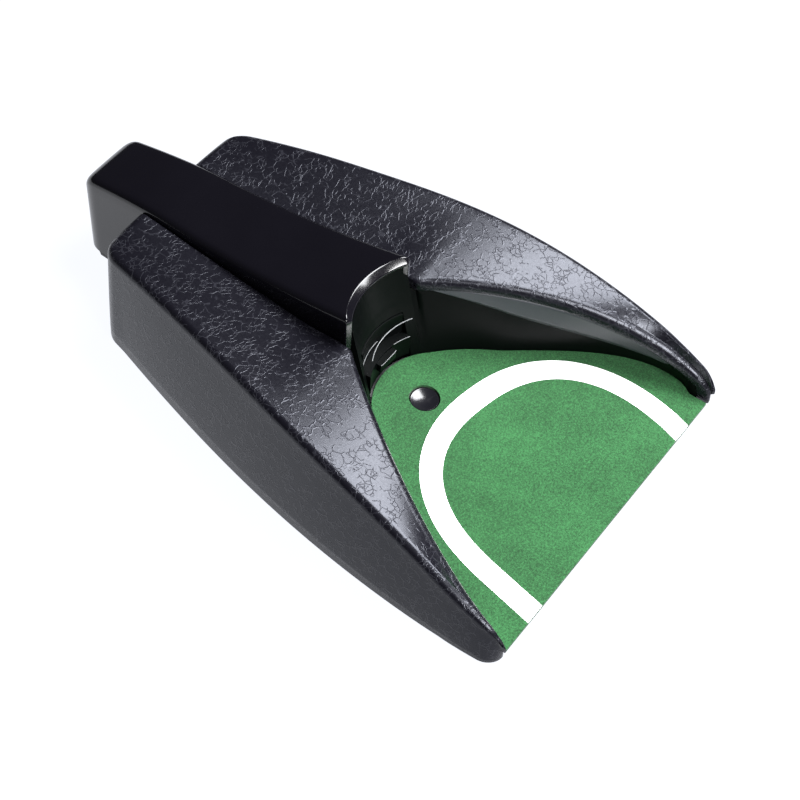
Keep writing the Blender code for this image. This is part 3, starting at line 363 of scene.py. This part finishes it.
class Look:
    """A node material, built step by step."""

    def __init__(self, name):
        self.material = bpy.data.materials.new(name)
        self.material.use_nodes = True
        self.tree = self.material.node_tree
        self.shader = self.tree.nodes["Principled BSDF"]
        self.place = self.tree.nodes.new("ShaderNodeTexCoord").outputs["Object"]

    def node(self, kind, inputs, **settings):
        made = self.tree.nodes.new(kind)
        for key, value in settings.items():
            setattr(made, key, value)
        for key, value in inputs.items():
            if hasattr(value, "is_output"):
                self.tree.links.new(value, made.inputs[key])
            else:
                made.inputs[key].default_value = value
        return made

    def math(self, operation, a, b):
        return self.node("ShaderNodeMath", {0: a, 1: b}, operation=operation).outputs[0]

    def noise(self, scale, detail, rough=0.5, place=None):
        return self.node("ShaderNodeTexNoise", {"Vector": place or self.place, "Scale": scale,
                                                "Detail": detail, "Roughness": rough}).outputs["Fac"]

    def warp(self, scale, amount):
        """Coordinates pushed about by noise."""
        cloud = self.node("ShaderNodeTexNoise", {"Vector": self.place, "Scale": scale,
                                                 "Detail": 2.0}).outputs["Color"]
        centred = self.node("ShaderNodeVectorMath", {0: cloud, 1: (0.5, 0.5, 0.5)},
                            operation="SUBTRACT").outputs[0]
        pushed = self.node("ShaderNodeVectorMath", {0: centred, "Scale": amount},
                           operation="SCALE").outputs[0]
        return self.node("ShaderNodeVectorMath", {0: self.place, 1: pushed}, operation="ADD").outputs[0]

    def edges(self, scale, place, width):
        """Thin lines along the borders of random cells, 1 on a line."""
        cells = self.node("ShaderNodeTexVoronoi", {"Vector": place, "Scale": scale},
                          feature="DISTANCE_TO_EDGE").outputs["Distance"]
        return self.ramp(cells, width, 0.0)

    def ramp(self, value, low, high, to_low=0.0, to_high=1.0):
        """Soft step of a value from one range to another."""
        return self.node("ShaderNodeMapRange", {"Value": value, "From Min": low, "From Max": high,
                                                "To Min": to_low, "To Max": to_high},
                         interpolation_type="SMOOTHSTEP").outputs[0]

    def tint(self, value, dark, light):
        """Colour between two, by a value from 0 to 1."""
        return self.node("ShaderNodeMix", {"Factor": value, 6: (*dark, 1.0), 7: (*light, 1.0)},
                         data_type="RGBA").outputs[2]

    def bump(self, height, distance, strength):
        return self.node("ShaderNodeBump", {"Height": height, "Distance": distance,
                                            "Strength": strength}).outputs[0]

    def set(self, **values):
        """Set or link the shader's sockets, named with underscores for spaces."""
        for key, value in values.items():
            socket = self.shader.inputs[key.replace("_", " ")]
            if hasattr(value, "is_output"):
                self.tree.links.new(value, socket)
            else:
                socket.default_value = value
        return self.material


def grained_plastic():
    """Black shell plastic with a moulded leather grain of fine raised creases."""
    look = Look("grained_plastic")
    wide = look.edges(190.0, look.warp(150.0, 0.0036), 0.066)
    fine = look.edges(330.0, look.warp(240.0, 0.0020), 0.070)
    broken = look.ramp(look.noise(210.0, 1.0), 0.46, 0.54)
    patches = look.ramp(look.noise(150.0, 1.0), 0.47, 0.56)
    creases = look.math("MAXIMUM", look.math("MULTIPLY", wide, broken),
                        look.math("MULTIPLY", fine, patches))
    pebble = look.noise(780.0, 2.0, 0.6)
    height = look.math("ADD", look.math("MULTIPLY", creases, 0.62), look.math("MULTIPLY", pebble, 0.09))
    # The creases are lighter in colour than the rest: painted glints along the raised creases, beside those
    # the bump gives.
    look.set(Base_Color=look.tint(creases, (0.0034, 0.0032, 0.0052), (0.0130, 0.0130, 0.0170)),
             Roughness=look.ramp(pebble, 0.2, 0.8, 0.25, 0.32),
             Normal=look.bump(height, 0.00013, 0.8), IOR=1.46, Specular_IOR_Level=0.34,
             Specular_Tint=(0.86, 0.89, 1.0, 1.0))
    return look.material


def satin_plastic(name, dark, light, rough, ripple=0.00002):
    """Smooth moulded plastic with a faint waviness."""
    look = Look(name)
    cloud = look.noise(40.0, 2.0)
    fine = look.noise(1500.0, 2.0)
    look.set(Base_Color=look.tint(cloud, dark, light),
             Roughness=look.ramp(fine, 0.3, 0.7, rough * 0.9, rough * 1.15),
             Normal=look.bump(look.math("ADD", cloud, look.math("MULTIPLY", fine, 0.05)), ripple, 0.5),
             IOR=1.49)
    return look.material


def felt(name, dark, light, spread=0.20):
    """Short brushed pile, mottled, with single fibres catching the light."""
    look = Look(name)
    blotch = look.noise(38.0, 4.0, 0.6)
    pile = look.noise(1300.0, 4.0, 0.75)
    fibre = look.noise(3600.0, 2.0, 0.6)
    tuft = look.noise(950.0, 2.0, 0.6)
    near = look.math("ADD", look.math("MULTIPLY", pile, 0.45), look.math("MULTIPLY", tuft, 0.35))
    tone = look.math("ADD", near, look.math("MULTIPLY", blotch, spread))
    look.set(Base_Color=look.tint(look.ramp(tone, 0.36, 0.70), dark, light),
             Roughness=look.ramp(fibre, 0.2, 0.8, 0.85, 1.0),
             Normal=look.bump(look.math("ADD", pile, look.math("MULTIPLY", fibre, 0.5)), 0.0004, 0.8),
             IOR=1.3, Sheen_Weight=0.10, Sheen_Roughness=0.5)
    return look.material


def metal(name, colour, rough, scale=(1.0, 1.0, 1.0)):
    """Drawn or turned metal with fine streaks."""
    look = Look(name)
    streak = look.node("ShaderNodeMapping", {"Vector": look.place, "Scale": scale}).outputs[0]
    grain = look.noise(900.0, 3.0, 0.6, streak)
    dark = tuple(value * 0.82 for value in colour)
    look.set(Base_Color=look.tint(grain, dark, colour), Metallic=1.0,
             Roughness=look.ramp(grain, 0.2, 0.8, rough * 0.8, rough * 1.3),
             Normal=look.bump(grain, 0.00003, 0.4))
    return look.material


def board_look():
    """Green solder mask over faint copper tracks."""
    look = Look("solder_mask")
    tracks = look.edges(420.0, look.place, 0.05)
    look.set(Base_Color=look.tint(tracks, (0.012, 0.115, 0.045), (0.035, 0.210, 0.085)), Roughness=0.28,
             Normal=look.bump(tracks, 0.00004, 0.6))
    return look.material


def floor_look():
    """Pale studio floor that glows evenly, so that the model throws almost no shadow."""
    look = Look("studio_floor")
    cloud = look.noise(3.0, 2.0)
    look.set(Base_Color=look.tint(cloud, (0.040, 0.040, 0.040), (0.044, 0.044, 0.044)), Roughness=0.9,
             Specular_IOR_Level=0.0, Emission_Color=(0.92, 0.94, 1.0, 1.0), Emission_Strength=1.03)
    return look.material


def adjust(material, **values):
    """Set plain values on a material's shader."""
    for key, value in values.items():
        material.node_tree.nodes["Principled BSDF"].inputs[key.replace("_", " ")].default_value = value
    return material


GRAIN = grained_plastic()
SATIN = satin_plastic("cover_plastic", (0.0017, 0.0015, 0.0027), (0.0025, 0.0023, 0.0038), 0.16)
GLOSS = satin_plastic("button_plastic", (0.0045, 0.0045, 0.0065), (0.0065, 0.0065, 0.0085), 0.20)
LINING = satin_plastic("liner_plastic", (0.0008, 0.0012, 0.0012), (0.0013, 0.0018, 0.0017), 0.34, 0.00003)
adjust(LINING, Specular_IOR_Level=0.07)
# Light grey for the thin beads along the kicker's and the window's edges: painted highlights on those edges.
EDGE = satin_plastic("painted_edge_highlight", (0.060, 0.064, 0.068), (0.090, 0.094, 0.098), 0.38)
# Grey well above the other black plastics: painted light on the skirt, for the lit crescent below the rims.
SKIRT = satin_plastic("skirt_painted_light", (0.027, 0.030, 0.036), (0.034, 0.037, 0.044), 0.42, 0.00003)
DULL = satin_plastic("base_plastic", (0.012, 0.012, 0.013), (0.022, 0.022, 0.024), 0.50, 0.00005)
NYLON = satin_plastic("nylon", (0.68, 0.66, 0.58), (0.78, 0.76, 0.69), 0.42)
ACETAL = satin_plastic("acetal", (0.80, 0.80, 0.77), (0.87, 0.87, 0.85), 0.34)
WRAP = satin_plastic("cell_wrap", (0.050, 0.070, 0.110), (0.070, 0.095, 0.140), 0.25)
RUBBER = satin_plastic("foot_rubber", (0.012, 0.012, 0.012), (0.024, 0.024, 0.024), 0.75, 0.0001)
GREEN = felt("green_felt", (0.009, 0.042, 0.013), (0.032, 0.142, 0.045))
WHITE = felt("white_felt", (0.90, 0.90, 0.90), (0.98, 0.98, 0.98), 0.1)
# Faint glow on the white felt: painted light that keeps the ring white where the wings shade it.
adjust(WHITE, Emission_Color=(1.0, 1.0, 1.0, 1.0), Emission_Strength=0.22)
STEEL = metal("drawn_steel", (0.60, 0.61, 0.63), 0.28, (1.0, 0.08, 1.0))
BRONZE = metal("sintered_bronze", (0.50, 0.33, 0.15), 0.40)
BRASS = metal("turned_brass", (0.72, 0.53, 0.23), 0.28, (0.1, 1.0, 1.0))
BOARD = board_look()
LOOKS = {"grained_black_plastic": GRAIN, "smooth_black_plastic": SATIN, "liner_black_plastic": LINING,
         "dull_black_plastic": DULL, "green_felt": GREEN, "white_felt": WHITE, "button_black_plastic": GLOSS,
         "black_rubber": RUBBER, "spring_steel": STEEL, "bronze_bush": BRONZE, "brass": BRASS,
         "natural_nylon": NYLON, "white_acetal": ACETAL, "battery_wrap": WRAP, "circuit_board": BOARD}


def dress_nodes():
    """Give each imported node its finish."""
    for part in frame["record"]["subparts"]:
        item = frame["nodes"][part["node"]]
        item.data.materials.clear()
        item.data.materials.append(LOOKS[part["material_slot"]])


def belong(item, body):
    """Let a piece move with a body."""
    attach(item, body)


def stand_in(item, node, body):
    """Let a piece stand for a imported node."""
    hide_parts(node)
    belong(item, body)


# ---------------------------------------------------------------- wings

def roll_in(y, end, radius):
    """How far a corner of that radius, which ends at end, has drawn in at y."""
    over = y - (end - radius)
    return radius - math.sqrt(max(0.0, radius ** 2 - over ** 2)) if over > 0.0 else 0.0


def wing_row(y, side):
    """Section of a wing's skin at y, from its foot over the top to below the inner rim."""
    low_x = outer_x(y)
    edge_x = top_edge_x(y)
    edge_z = top_z(y)
    near_x = inner_x(y)
    near_z = rim_z(y)
    width = edge_x - near_x
    big = min(4.0, 0.42 * width)
    small = min(4.0, 0.40 * width) * (1.0 - 0.75 * smooth(131.0, 138.5, y)) + 0.4
    points = []
    for i in range(8):
        share = i / 8
        points.append((mix(low_x, edge_x, share ** 1.2), mix(WING_BOTTOM, edge_z - big, share)))
    for i in range(11):
        turn = UPRIGHT * i / 10
        points.append((edge_x - big + big * math.cos(turn), edge_z - big + big * math.sin(turn)))
    for i in range(1, 16):
        share = i / 16
        crown = 0.25 * 4 * share * (1 - share) * min(1.0, width / 25.0)
        points.append((mix(edge_x - big, near_x + small, share), mix(edge_z, near_z, share) + crown))
    for i in range(8):
        turn = UPRIGHT * i / 7
        points.append((near_x + small - small * math.sin(turn), near_z - small + small * math.cos(turn)))
    foot = near_z - LIP_DROP
    foot = mix(foot, WING_BOTTOM, max(smooth(255.0, 262.0, y), 1.0 - smooth(6.0, 7.4, y)))
    for i in range(1, 5):
        points.append((near_x, mix(near_z - small, foot, i / 4)))
    if y < NOSE:
        middle = mix(low_x, near_x, 0.82)
        wide = math.sqrt(max(0.0, 1.0 - ((NOSE - y) / NOSE) ** 2))
        high = mix(0.60, 1.0, wide)
        points = [(middle + (x - middle) * wide, WING_BOTTOM + (z - WING_BOTTOM) * high)
                  for x, z in points]
    if y > WING_END - WING_CORNER:
        reach = (low_x - near_x - roll_in(y, WING_END, WING_CORNER)) / (low_x - near_x)
        squat = (edge_z - 0.8 * roll_in(y, WING_END, 5.0) - WING_BOTTOM) / (edge_z - WING_BOTTOM)
        points = [(near_x + (x - near_x) * reach, WING_BOTTOM + (z - WING_BOTTOM) * squat)
                  for x, z in points]
    return [(side * x, y, z) for x, z in points]


def wing(name, node, side):
    """Grained skin of a wing."""
    places = [NOSE * (1 - math.cos(UPRIGHT * i / 12)) for i in range(12)]
    places += [mix(NOSE, WING_END - WING_CORNER, i / 130) for i in range(131)]
    places += [WING_END - WING_CORNER * (1.0 - math.sin(UPRIGHT * i / 16)) for i in range(1, 17)]
    item = grid(name, [wing_row(y, side) for y in places], GRAIN, cap_end=True, thick=2.0,
                outward=(side * 1.0, 0.0, 0.0))
    stand_in(item, node, "housing")


# ---------------------------------------------------------------- cover

def cover_columns():
    """Places across the cover's section: (kind, share) from the left foot over the top."""
    left = [("side", i / 10) for i in range(10)]
    turn = [("corner", i / 8) for i in range(9)]
    top = [("top", i / 30) for i in range(1, 15)]
    half = left + turn + top
    return [(-1, kind, share) for kind, share in half] + [(0, "top", 0.5)] + [
        (1, kind, share) for kind, share in reversed(half)]


def cover_point(column, y, inward):
    """Point of the cover's section at y, moved inward by a distance."""
    side, kind, share = column
    drop = roll_in(y, TAIL, TAIL_RADIUS)
    wide = tunnel_x(y) - 0.6 * drop
    high = tunnel_z(y) - drop
    foot = mix(RIM_RELIEF, COVER_BOTTOM, smooth(144.5, 146.5, y))
    if kind == "side":
        x, z = wide - inward, mix(foot, high - COVER_CORNER, share)
    elif kind == "corner":
        turn = UPRIGHT * share
        reach = COVER_CORNER - inward
        x = wide - COVER_CORNER + reach * math.cos(turn)
        z = high - COVER_CORNER + reach * math.sin(turn)
    else:
        along = (wide - COVER_CORNER) * (1 - 2 * share)
        x, z = along, high - inward + 0.35 * (1 - (along / wide) ** 2)
    return ((side or 1) * x, y, z)


def lip_profile():
    """Steps (back from the front, depth below the top) over the lip: a broad bevel with soft edges."""
    soft = 1.6
    tilt = math.radians(LIP_TILT)
    run, fall = LIP_BEVEL * math.cos(tilt), LIP_BEVEL * math.sin(tilt)
    steps = []
    low = soft * math.tan((UPRIGHT - tilt) / 2)
    high = soft * math.tan(tilt / 2)
    for i in range(7):
        turn = mix(0.0, UPRIGHT - tilt, i / 6)
        steps.append((soft * (1 - math.cos(turn)), fall + low - soft * math.sin(turn)))
    for i in range(7):
        turn = mix(tilt, 0.0, i / 6)
        steps.append((run + high - soft * math.sin(turn), soft * (1 - math.cos(turn))))
    return steps


def cover():
    """Glossy cover with its thick front lip, from inside the lip over the top to the tail."""
    columns = cover_columns()
    rows = []

    def front(column, inward):
        x = min(abs(cover_point(column, 138.0, inward)[0]), 39.0)
        return LIP_CENTRE + math.sqrt(LIP_RADIUS ** 2 - x * x)

    rows.append([cover_point(c, front(c, LIP_THICK) + 9.0, LIP_THICK) for c in columns])
    rows.append([cover_point(c, front(c, LIP_THICK) + 0.5, LIP_THICK) for c in columns])
    for back, deep in lip_profile():
        rows.append([cover_point(c, front(c, deep) + back, deep) for c in columns])
    for i in range(1, 71):
        rows.append([cover_point(c, mix(front(c, 0.0) + LIP_BEVEL, TAIL - TAIL_RADIUS, i / 70), 0.0)
                     for c in columns])
    for i in range(1, 13):
        y = TAIL - TAIL_RADIUS + TAIL_RADIUS * math.sin(UPRIGHT * i / 12)
        rows.append([cover_point(c, y, 0.0) for c in columns])
    item = grid("drive_cover", rows, SATIN, cap_end=True)
    stand_in(item, "tunnel_cover", "housing")


# ---------------------------------------------------------------- cup

def liner():
    """Wall of the cup, from one wing's rim round the back to the other's, with the kicker's window."""
    columns = []
    ahead = [(y, (floor_x(y), y)) for y in (6.0, 6.9, 7.8, 8.7)]
    for y, (fx, fy) in ahead + cup_side(80):
        top_x = rim_x(y) + 0.9
        if rim_x(y) < tunnel_x(y) + 0.4:
            top_x = tunnel_x(y) + 1.3
        columns.append(((fx, fy, mat_z(fy) - 1.0), (top_x, y, rim_z(y) - LIP_DROP + 0.6)))
    corner = arc_point(CUP_BACK_CENTRE, CUP_BACK_RADIUS, math.radians(41.0))
    columns.append(((*corner, mat_z(corner[1]) - 1.0), (23.3, 140.2, rim_z(137.0) - LIP_DROP + 0.6)))
    lip = LIP_RADIUS + 1.0
    for i in range(27):
        turn = math.radians(mix(39.0, 0.0, i / 26))
        fx, fy = arc_point(CUP_BACK_CENTRE, CUP_BACK_RADIUS, turn)
        wide = mix(22.4, 0.0, i / 26)
        y = LIP_CENTRE + math.sqrt(lip ** 2 - wide ** 2)
        columns.append(((fx, fy, mat_z(fy) - 1.0), (wide, y, tunnel_z(y) - LIP_THICK - 0.2)))
    columns += [((-a[0], a[1], a[2]), (-b[0], b[1], b[2])) for a, b in reversed(columns[:-1])]
    rows = []
    for i in range(13):
        share = i / 12
        rows.append([tuple(mix(p, q, share) for p, q in zip(a, b)) for a, b in columns])
    item = grid("cup_wall", rows, LINING, thick=1.6, outward=(0.0, -1.0, 0.0), cupped=True)
    item = carve(item, box_cutter((-WINDOW_HALF, 115.0, 5.0), (WINDOW_HALF, 165.0, WINDOW_TOP)))
    stand_in(item, "cup_liner", "housing")


def skirt(name, side):
    """Inner skirt of a wing: a satin strip that hangs from the rim in front of the cup wall. Its grey is
    painted light: the strip is far lighter than the other black plastics to show the lit crescent below the
    rim.
    """
    rows = []
    last = 60
    for i in range(last + 1):
        y = mix(SKIRT_FRONT, SKIRT_BACK, i / last)
        fx, fy = next((f for at_y, f in WALL if at_y >= y), WALL[-1][1])
        top = rim_z(y) - LIP_DROP + 0.8
        hang = SKIRT_DEPTH * math.sin(math.pi * (i / last) ** 0.75) ** 0.9
        foot_z = mat_z(fy) - 1.0
        row = []
        for j in range(7):
            z = top - hang * j / 6
            share = (z - foot_z) / max(1.0, rim_z(y) - LIP_DROP + 0.6 - foot_z)
            lean = mix(fx, rim_x(y) + 0.9, share)
            row.append((side * (lean - 0.9), mix(fy, y, share), z))
        rows.append(row)
    item = grid(name, rows, SKIRT, thick=0.6, outward=(-side * 1.0, 0.0, 0.0))
    belong(item, "housing")


def disc(radius, count, middle):
    """Circle as an outline."""
    return [(middle[0] + radius * math.cos(2 * math.pi * i / count),
             middle[1] + radius * math.sin(2 * math.pi * i / count)) for i in range(count)]


def arch(half, reach, power, leg, steps):
    """Rounded arch from right to left, turned a little on the mat, its legs led to y = 0."""
    turn = math.radians(RING_TURN)
    points = [(leg, 0.0)]
    for i in range(steps + 1):
        angle = math.pi * i / steps
        across = half * math.copysign(abs(math.cos(angle)) ** (2 / power), math.cos(angle))
        ahead = RING_BACK + reach * abs(math.sin(angle)) ** (2 / power)
        points.append((across * math.cos(turn) + ahead * math.sin(turn),
                       ahead * math.cos(turn) - across * math.sin(turn)))
    points.append((-leg, 0.0))
    return points


def mat():
    """Felt on the ramp, and the white ring let into it."""
    hole = disc(HOLE_RADIUS, 72, (0.0, HOLE_Y))
    ground = sheet("felt_mat", floor_outline(0.5, 0.0), MAT_TOP - MAT_THICK, MAT_TOP, GREEN, [hole], 0.25)
    stand_in(ground, "putting_mat", "housing")
    outline = arch(*RING_OUTER, 120) + list(reversed(arch(*RING_INNER, 110)))
    ring = sheet("felt_ring", outline, MAT_TOP - 0.4, MAT_TOP + 0.12, WHITE, bevel=0.08)
    stand_in(ring, "ring_inlay", "housing")


# ---------------------------------------------------------------- trigger and kicker

def turned(name, profile, look, middle, steps=64):
    """Round piece, from its profile."""
    rows = []
    for i in range(steps):
        turn = 2 * math.pi * i / steps
        rows.append([(middle[0] + r * math.cos(turn), middle[1] + r * math.sin(turn), z)
                     for r, z in profile])
    rows.append(rows[0])
    return grid(name, rows, look)


def wall_arc(radius, low, high, steps=28):
    """Arc about the middle of the cup's back, between two angles in degrees."""
    return [arc_point(CUP_BACK_CENTRE, radius, math.radians(mix(low, high, i / steps)))
            for i in range(steps + 1)]


def bead(name, points, radius, look):
    """Thin rounded edge along a line of points."""
    curve = bpy.data.curves.new(name, "CURVE")
    curve.dimensions = "3D"
    curve.bevel_depth = radius * MM
    curve.bevel_resolution = 2
    curve.use_fill_caps = True
    spline = curve.splines.new("POLY")
    spline.points.add(len(points) - 1)
    for point, place in zip(spline.points, points):
        point.co = (*at(*place), 1.0)
    mesh = curve_mesh(name, curve)
    mesh.materials.clear()
    return smooth_by_angle(link(name, mesh, look))


def kicker_face():
    """Pusher seen through the window: a lower tier level with the wall, a recessed upper one, a tab."""
    face = CUP_BACK_RADIUS + 0.6
    back = [(PADDLE_HALF, PADDLE_BACK), (-PADDLE_HALF, PADDLE_BACK)]
    lower = wall_arc(face, -PADDLE_ARC, PADDLE_ARC) + back
    upper = [(x, y + 5.0) for x, y in wall_arc(face, -PADDLE_ARC, PADDLE_ARC)] + back
    item = sheet("kicker_face", lower, PADDLE_BOTTOM, PADDLE_STEP, LINING, slope=0.0)
    carve(item, sheet("upper", upper, PADDLE_STEP - 1.0, PADDLE_TOP, LINING, slope=0.0), "UNION")
    tab = [(-6.4, 132.2), (-5.2, 131.9), (5.2, 131.9), (6.4, 132.2), (6.6, 140.0), (-6.6, 140.0)]
    carve(item, sheet("tab", tab, TAB_BOTTOM, TAB_TOP, LINING, slope=0.0), "UNION")
    ears = [(-19.4, PADDLE_BACK - 0.6), (19.4, PADDLE_BACK - 0.6), (19.4, EAR_BACK), (-19.4, EAR_BACK)]
    carve(item, sheet("ears", ears, 16.2, 28.0, LINING, slope=0.0), "UNION")
    soften(item, 0.35)
    stand_in(item, "kicker_paddle", "kicker")
    # Light grey beads along the step, the tab, a rib and the window's top: painted highlights on those
    # edges.
    step = bead("kicker_step_highlight", [(x, y - 0.05, PADDLE_STEP) for x, y in
                                     wall_arc(face, 12.0, PADDLE_ARC - 0.4)], 0.22, EDGE)
    brim = bead("kicker_tab_highlight", [(x, y, TAB_TOP - 0.1) for x, y in
                                    ((-6.2, 132.1), (-5.0, 131.85), (5.0, 131.85), (6.2, 132.1))],
                0.20, EDGE)
    for piece in (step, brim):
        belong(piece, "kicker")
    rib = bead("kicker_rib_highlight", [(x, y + 4.95, PADDLE_TOP - 9.5) for x, y in
                              wall_arc(face, 0.6 - PADDLE_ARC, 2.0)], 0.20, EDGE)
    belong(rib, "kicker")
    edge = bead("window_edge_highlight", [(x, y, WINDOW_TOP + 0.2) for x, y in
                                wall_arc(CUP_BACK_RADIUS, -30.0, 28.6)], 0.28, EDGE)
    belong(edge, "housing")


def spring(node, along, anchor_low):
    """A packed spring, copied as it is and set on the housing; along names the axis, X, Y or Z (0, 1 or 2).
    """
    packed = frame["nodes"][node]
    item = packed.copy()
    item.data = packed.data.copy()
    item.name = node + "_coil"
    bpy.context.scene.collection.objects.link(item)
    stand_in(item, node, "housing")
    low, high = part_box(node)
    end = [(a + b) / 2 for a, b in zip(low, high)]
    end[along] = low[along] if anchor_low else high[along]
    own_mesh(item)
    smooth_by_angle(item)


def button():
    """Dished cap of the trigger, with a flange below the ramp."""
    rim = mat_z(HOLE_Y) - 1.0
    deep = BUTTON_BOWL * (1 - math.cos(math.radians(BUTTON_TILT)))
    profile = [(0.01, rim - deep)]
    for i in range(1, 15):
        turn = math.radians(BUTTON_TILT * i / 14)
        profile.append((BUTTON_BOWL * math.sin(turn), rim - deep + BUTTON_BOWL * (1 - math.cos(turn))))
    profile.append((profile[-1][0] + 0.15, rim + 0.04))
    edge = profile[-1]
    profile += [(edge[0] + 0.15, edge[1] - 0.1), (edge[0] + 0.22, edge[1] - 0.4), (7.2, 9.4), (9.2, 8.7),
                (9.2, BUTTON_FOOT), (0.01, BUTTON_FOOT)]
    item = turned("trigger_cap", profile, GLOSS, (0.0, HOLE_Y))
    stand_in(item, "trigger_button", "button")


# ---------------------------------------------------------------- studio

def light(name, spot, aim, size, power, colour):
    """Rectangular lamp at a spot, aimed at a point."""
    lamp = bpy.data.lights.new(name, "AREA")
    lamp.shape = "RECTANGLE"
    lamp.size, lamp.size_y = size
    lamp.energy = power
    lamp.color = colour
    item = bpy.data.objects.new(name, lamp)
    item.location = spot
    item.rotation_euler = (Vector(aim) - Vector(spot)).to_track_quat("-Z", "Y").to_euler()
    bpy.context.scene.collection.objects.link(item)


def studio():
    """Floor, faint surroundings and two soft lamps."""
    bm = bmesh.new()
    bmesh.ops.create_grid(bm, x_segments=1, y_segments=1, size=6.0)
    mesh = bpy.data.meshes.new("studio_floor")
    bm.to_mesh(mesh)
    bm.free()
    link("studio_floor", mesh, floor_look())
    world = bpy.data.worlds.new("studio")
    world.use_nodes = True
    world.node_tree.nodes["Background"].inputs["Color"].default_value = (1.0, 1.0, 1.0, 1.0)
    world.node_tree.nodes["Background"].inputs["Strength"].default_value = 0.04
    bpy.context.scene.world = world
    light("slope_box", (0.80, -0.42, 1.42), (0.0, -0.06, 0.0), (1.02, 1.04), 96.0, (0.97, 0.98, 1.0))
    light("front_box", (-0.26, -1.10, 0.92), (0.0, -0.02, 0.07), (0.60, 0.36), 32.0, (1.0, 1.0, 1.0))


def camera():
    """Camera above and to the front left of the model, with its right, up and back directions."""
    data = bpy.data.cameras.new("camera")
    data.lens = 92.4538
    data.sensor_width = 36.0
    data.clip_start = 0.01
    item = bpy.data.objects.new("camera", data)
    right = Vector((0.58671546, -0.80910191, 0.03345259))
    up = Vector((0.62987773, 0.4819352, 0.60909154))
    back = Vector((-0.50893911, -0.33629238, 0.7923941))
    turn = Matrix((right, up, back)).transposed().to_4x4()
    item.matrix_world = Matrix.Translation((-0.52116, -0.22023 + SHIFT * MM, 0.81123)) @ turn
    bpy.context.scene.collection.objects.link(item)
    bpy.context.scene.camera = item


WALL = cup_side(200)
dress_nodes()
skirt("left_skirt", -1)
skirt("right_skirt", 1)
wing("left_wing", "left_wing_shell", -1)
wing("right_wing", "right_wing_shell", 1)
cover()
liner()
mat()
kicker_face()
for node in ("left_kicker_spring", "right_kicker_spring"):
    spring(node, 1, False)
spring("trigger_spring", 2, True)
button()
studio()
camera()
bpy.context.scene.view_settings.view_transform = "Standard"
bpy.context.scene.view_settings.look = "None"
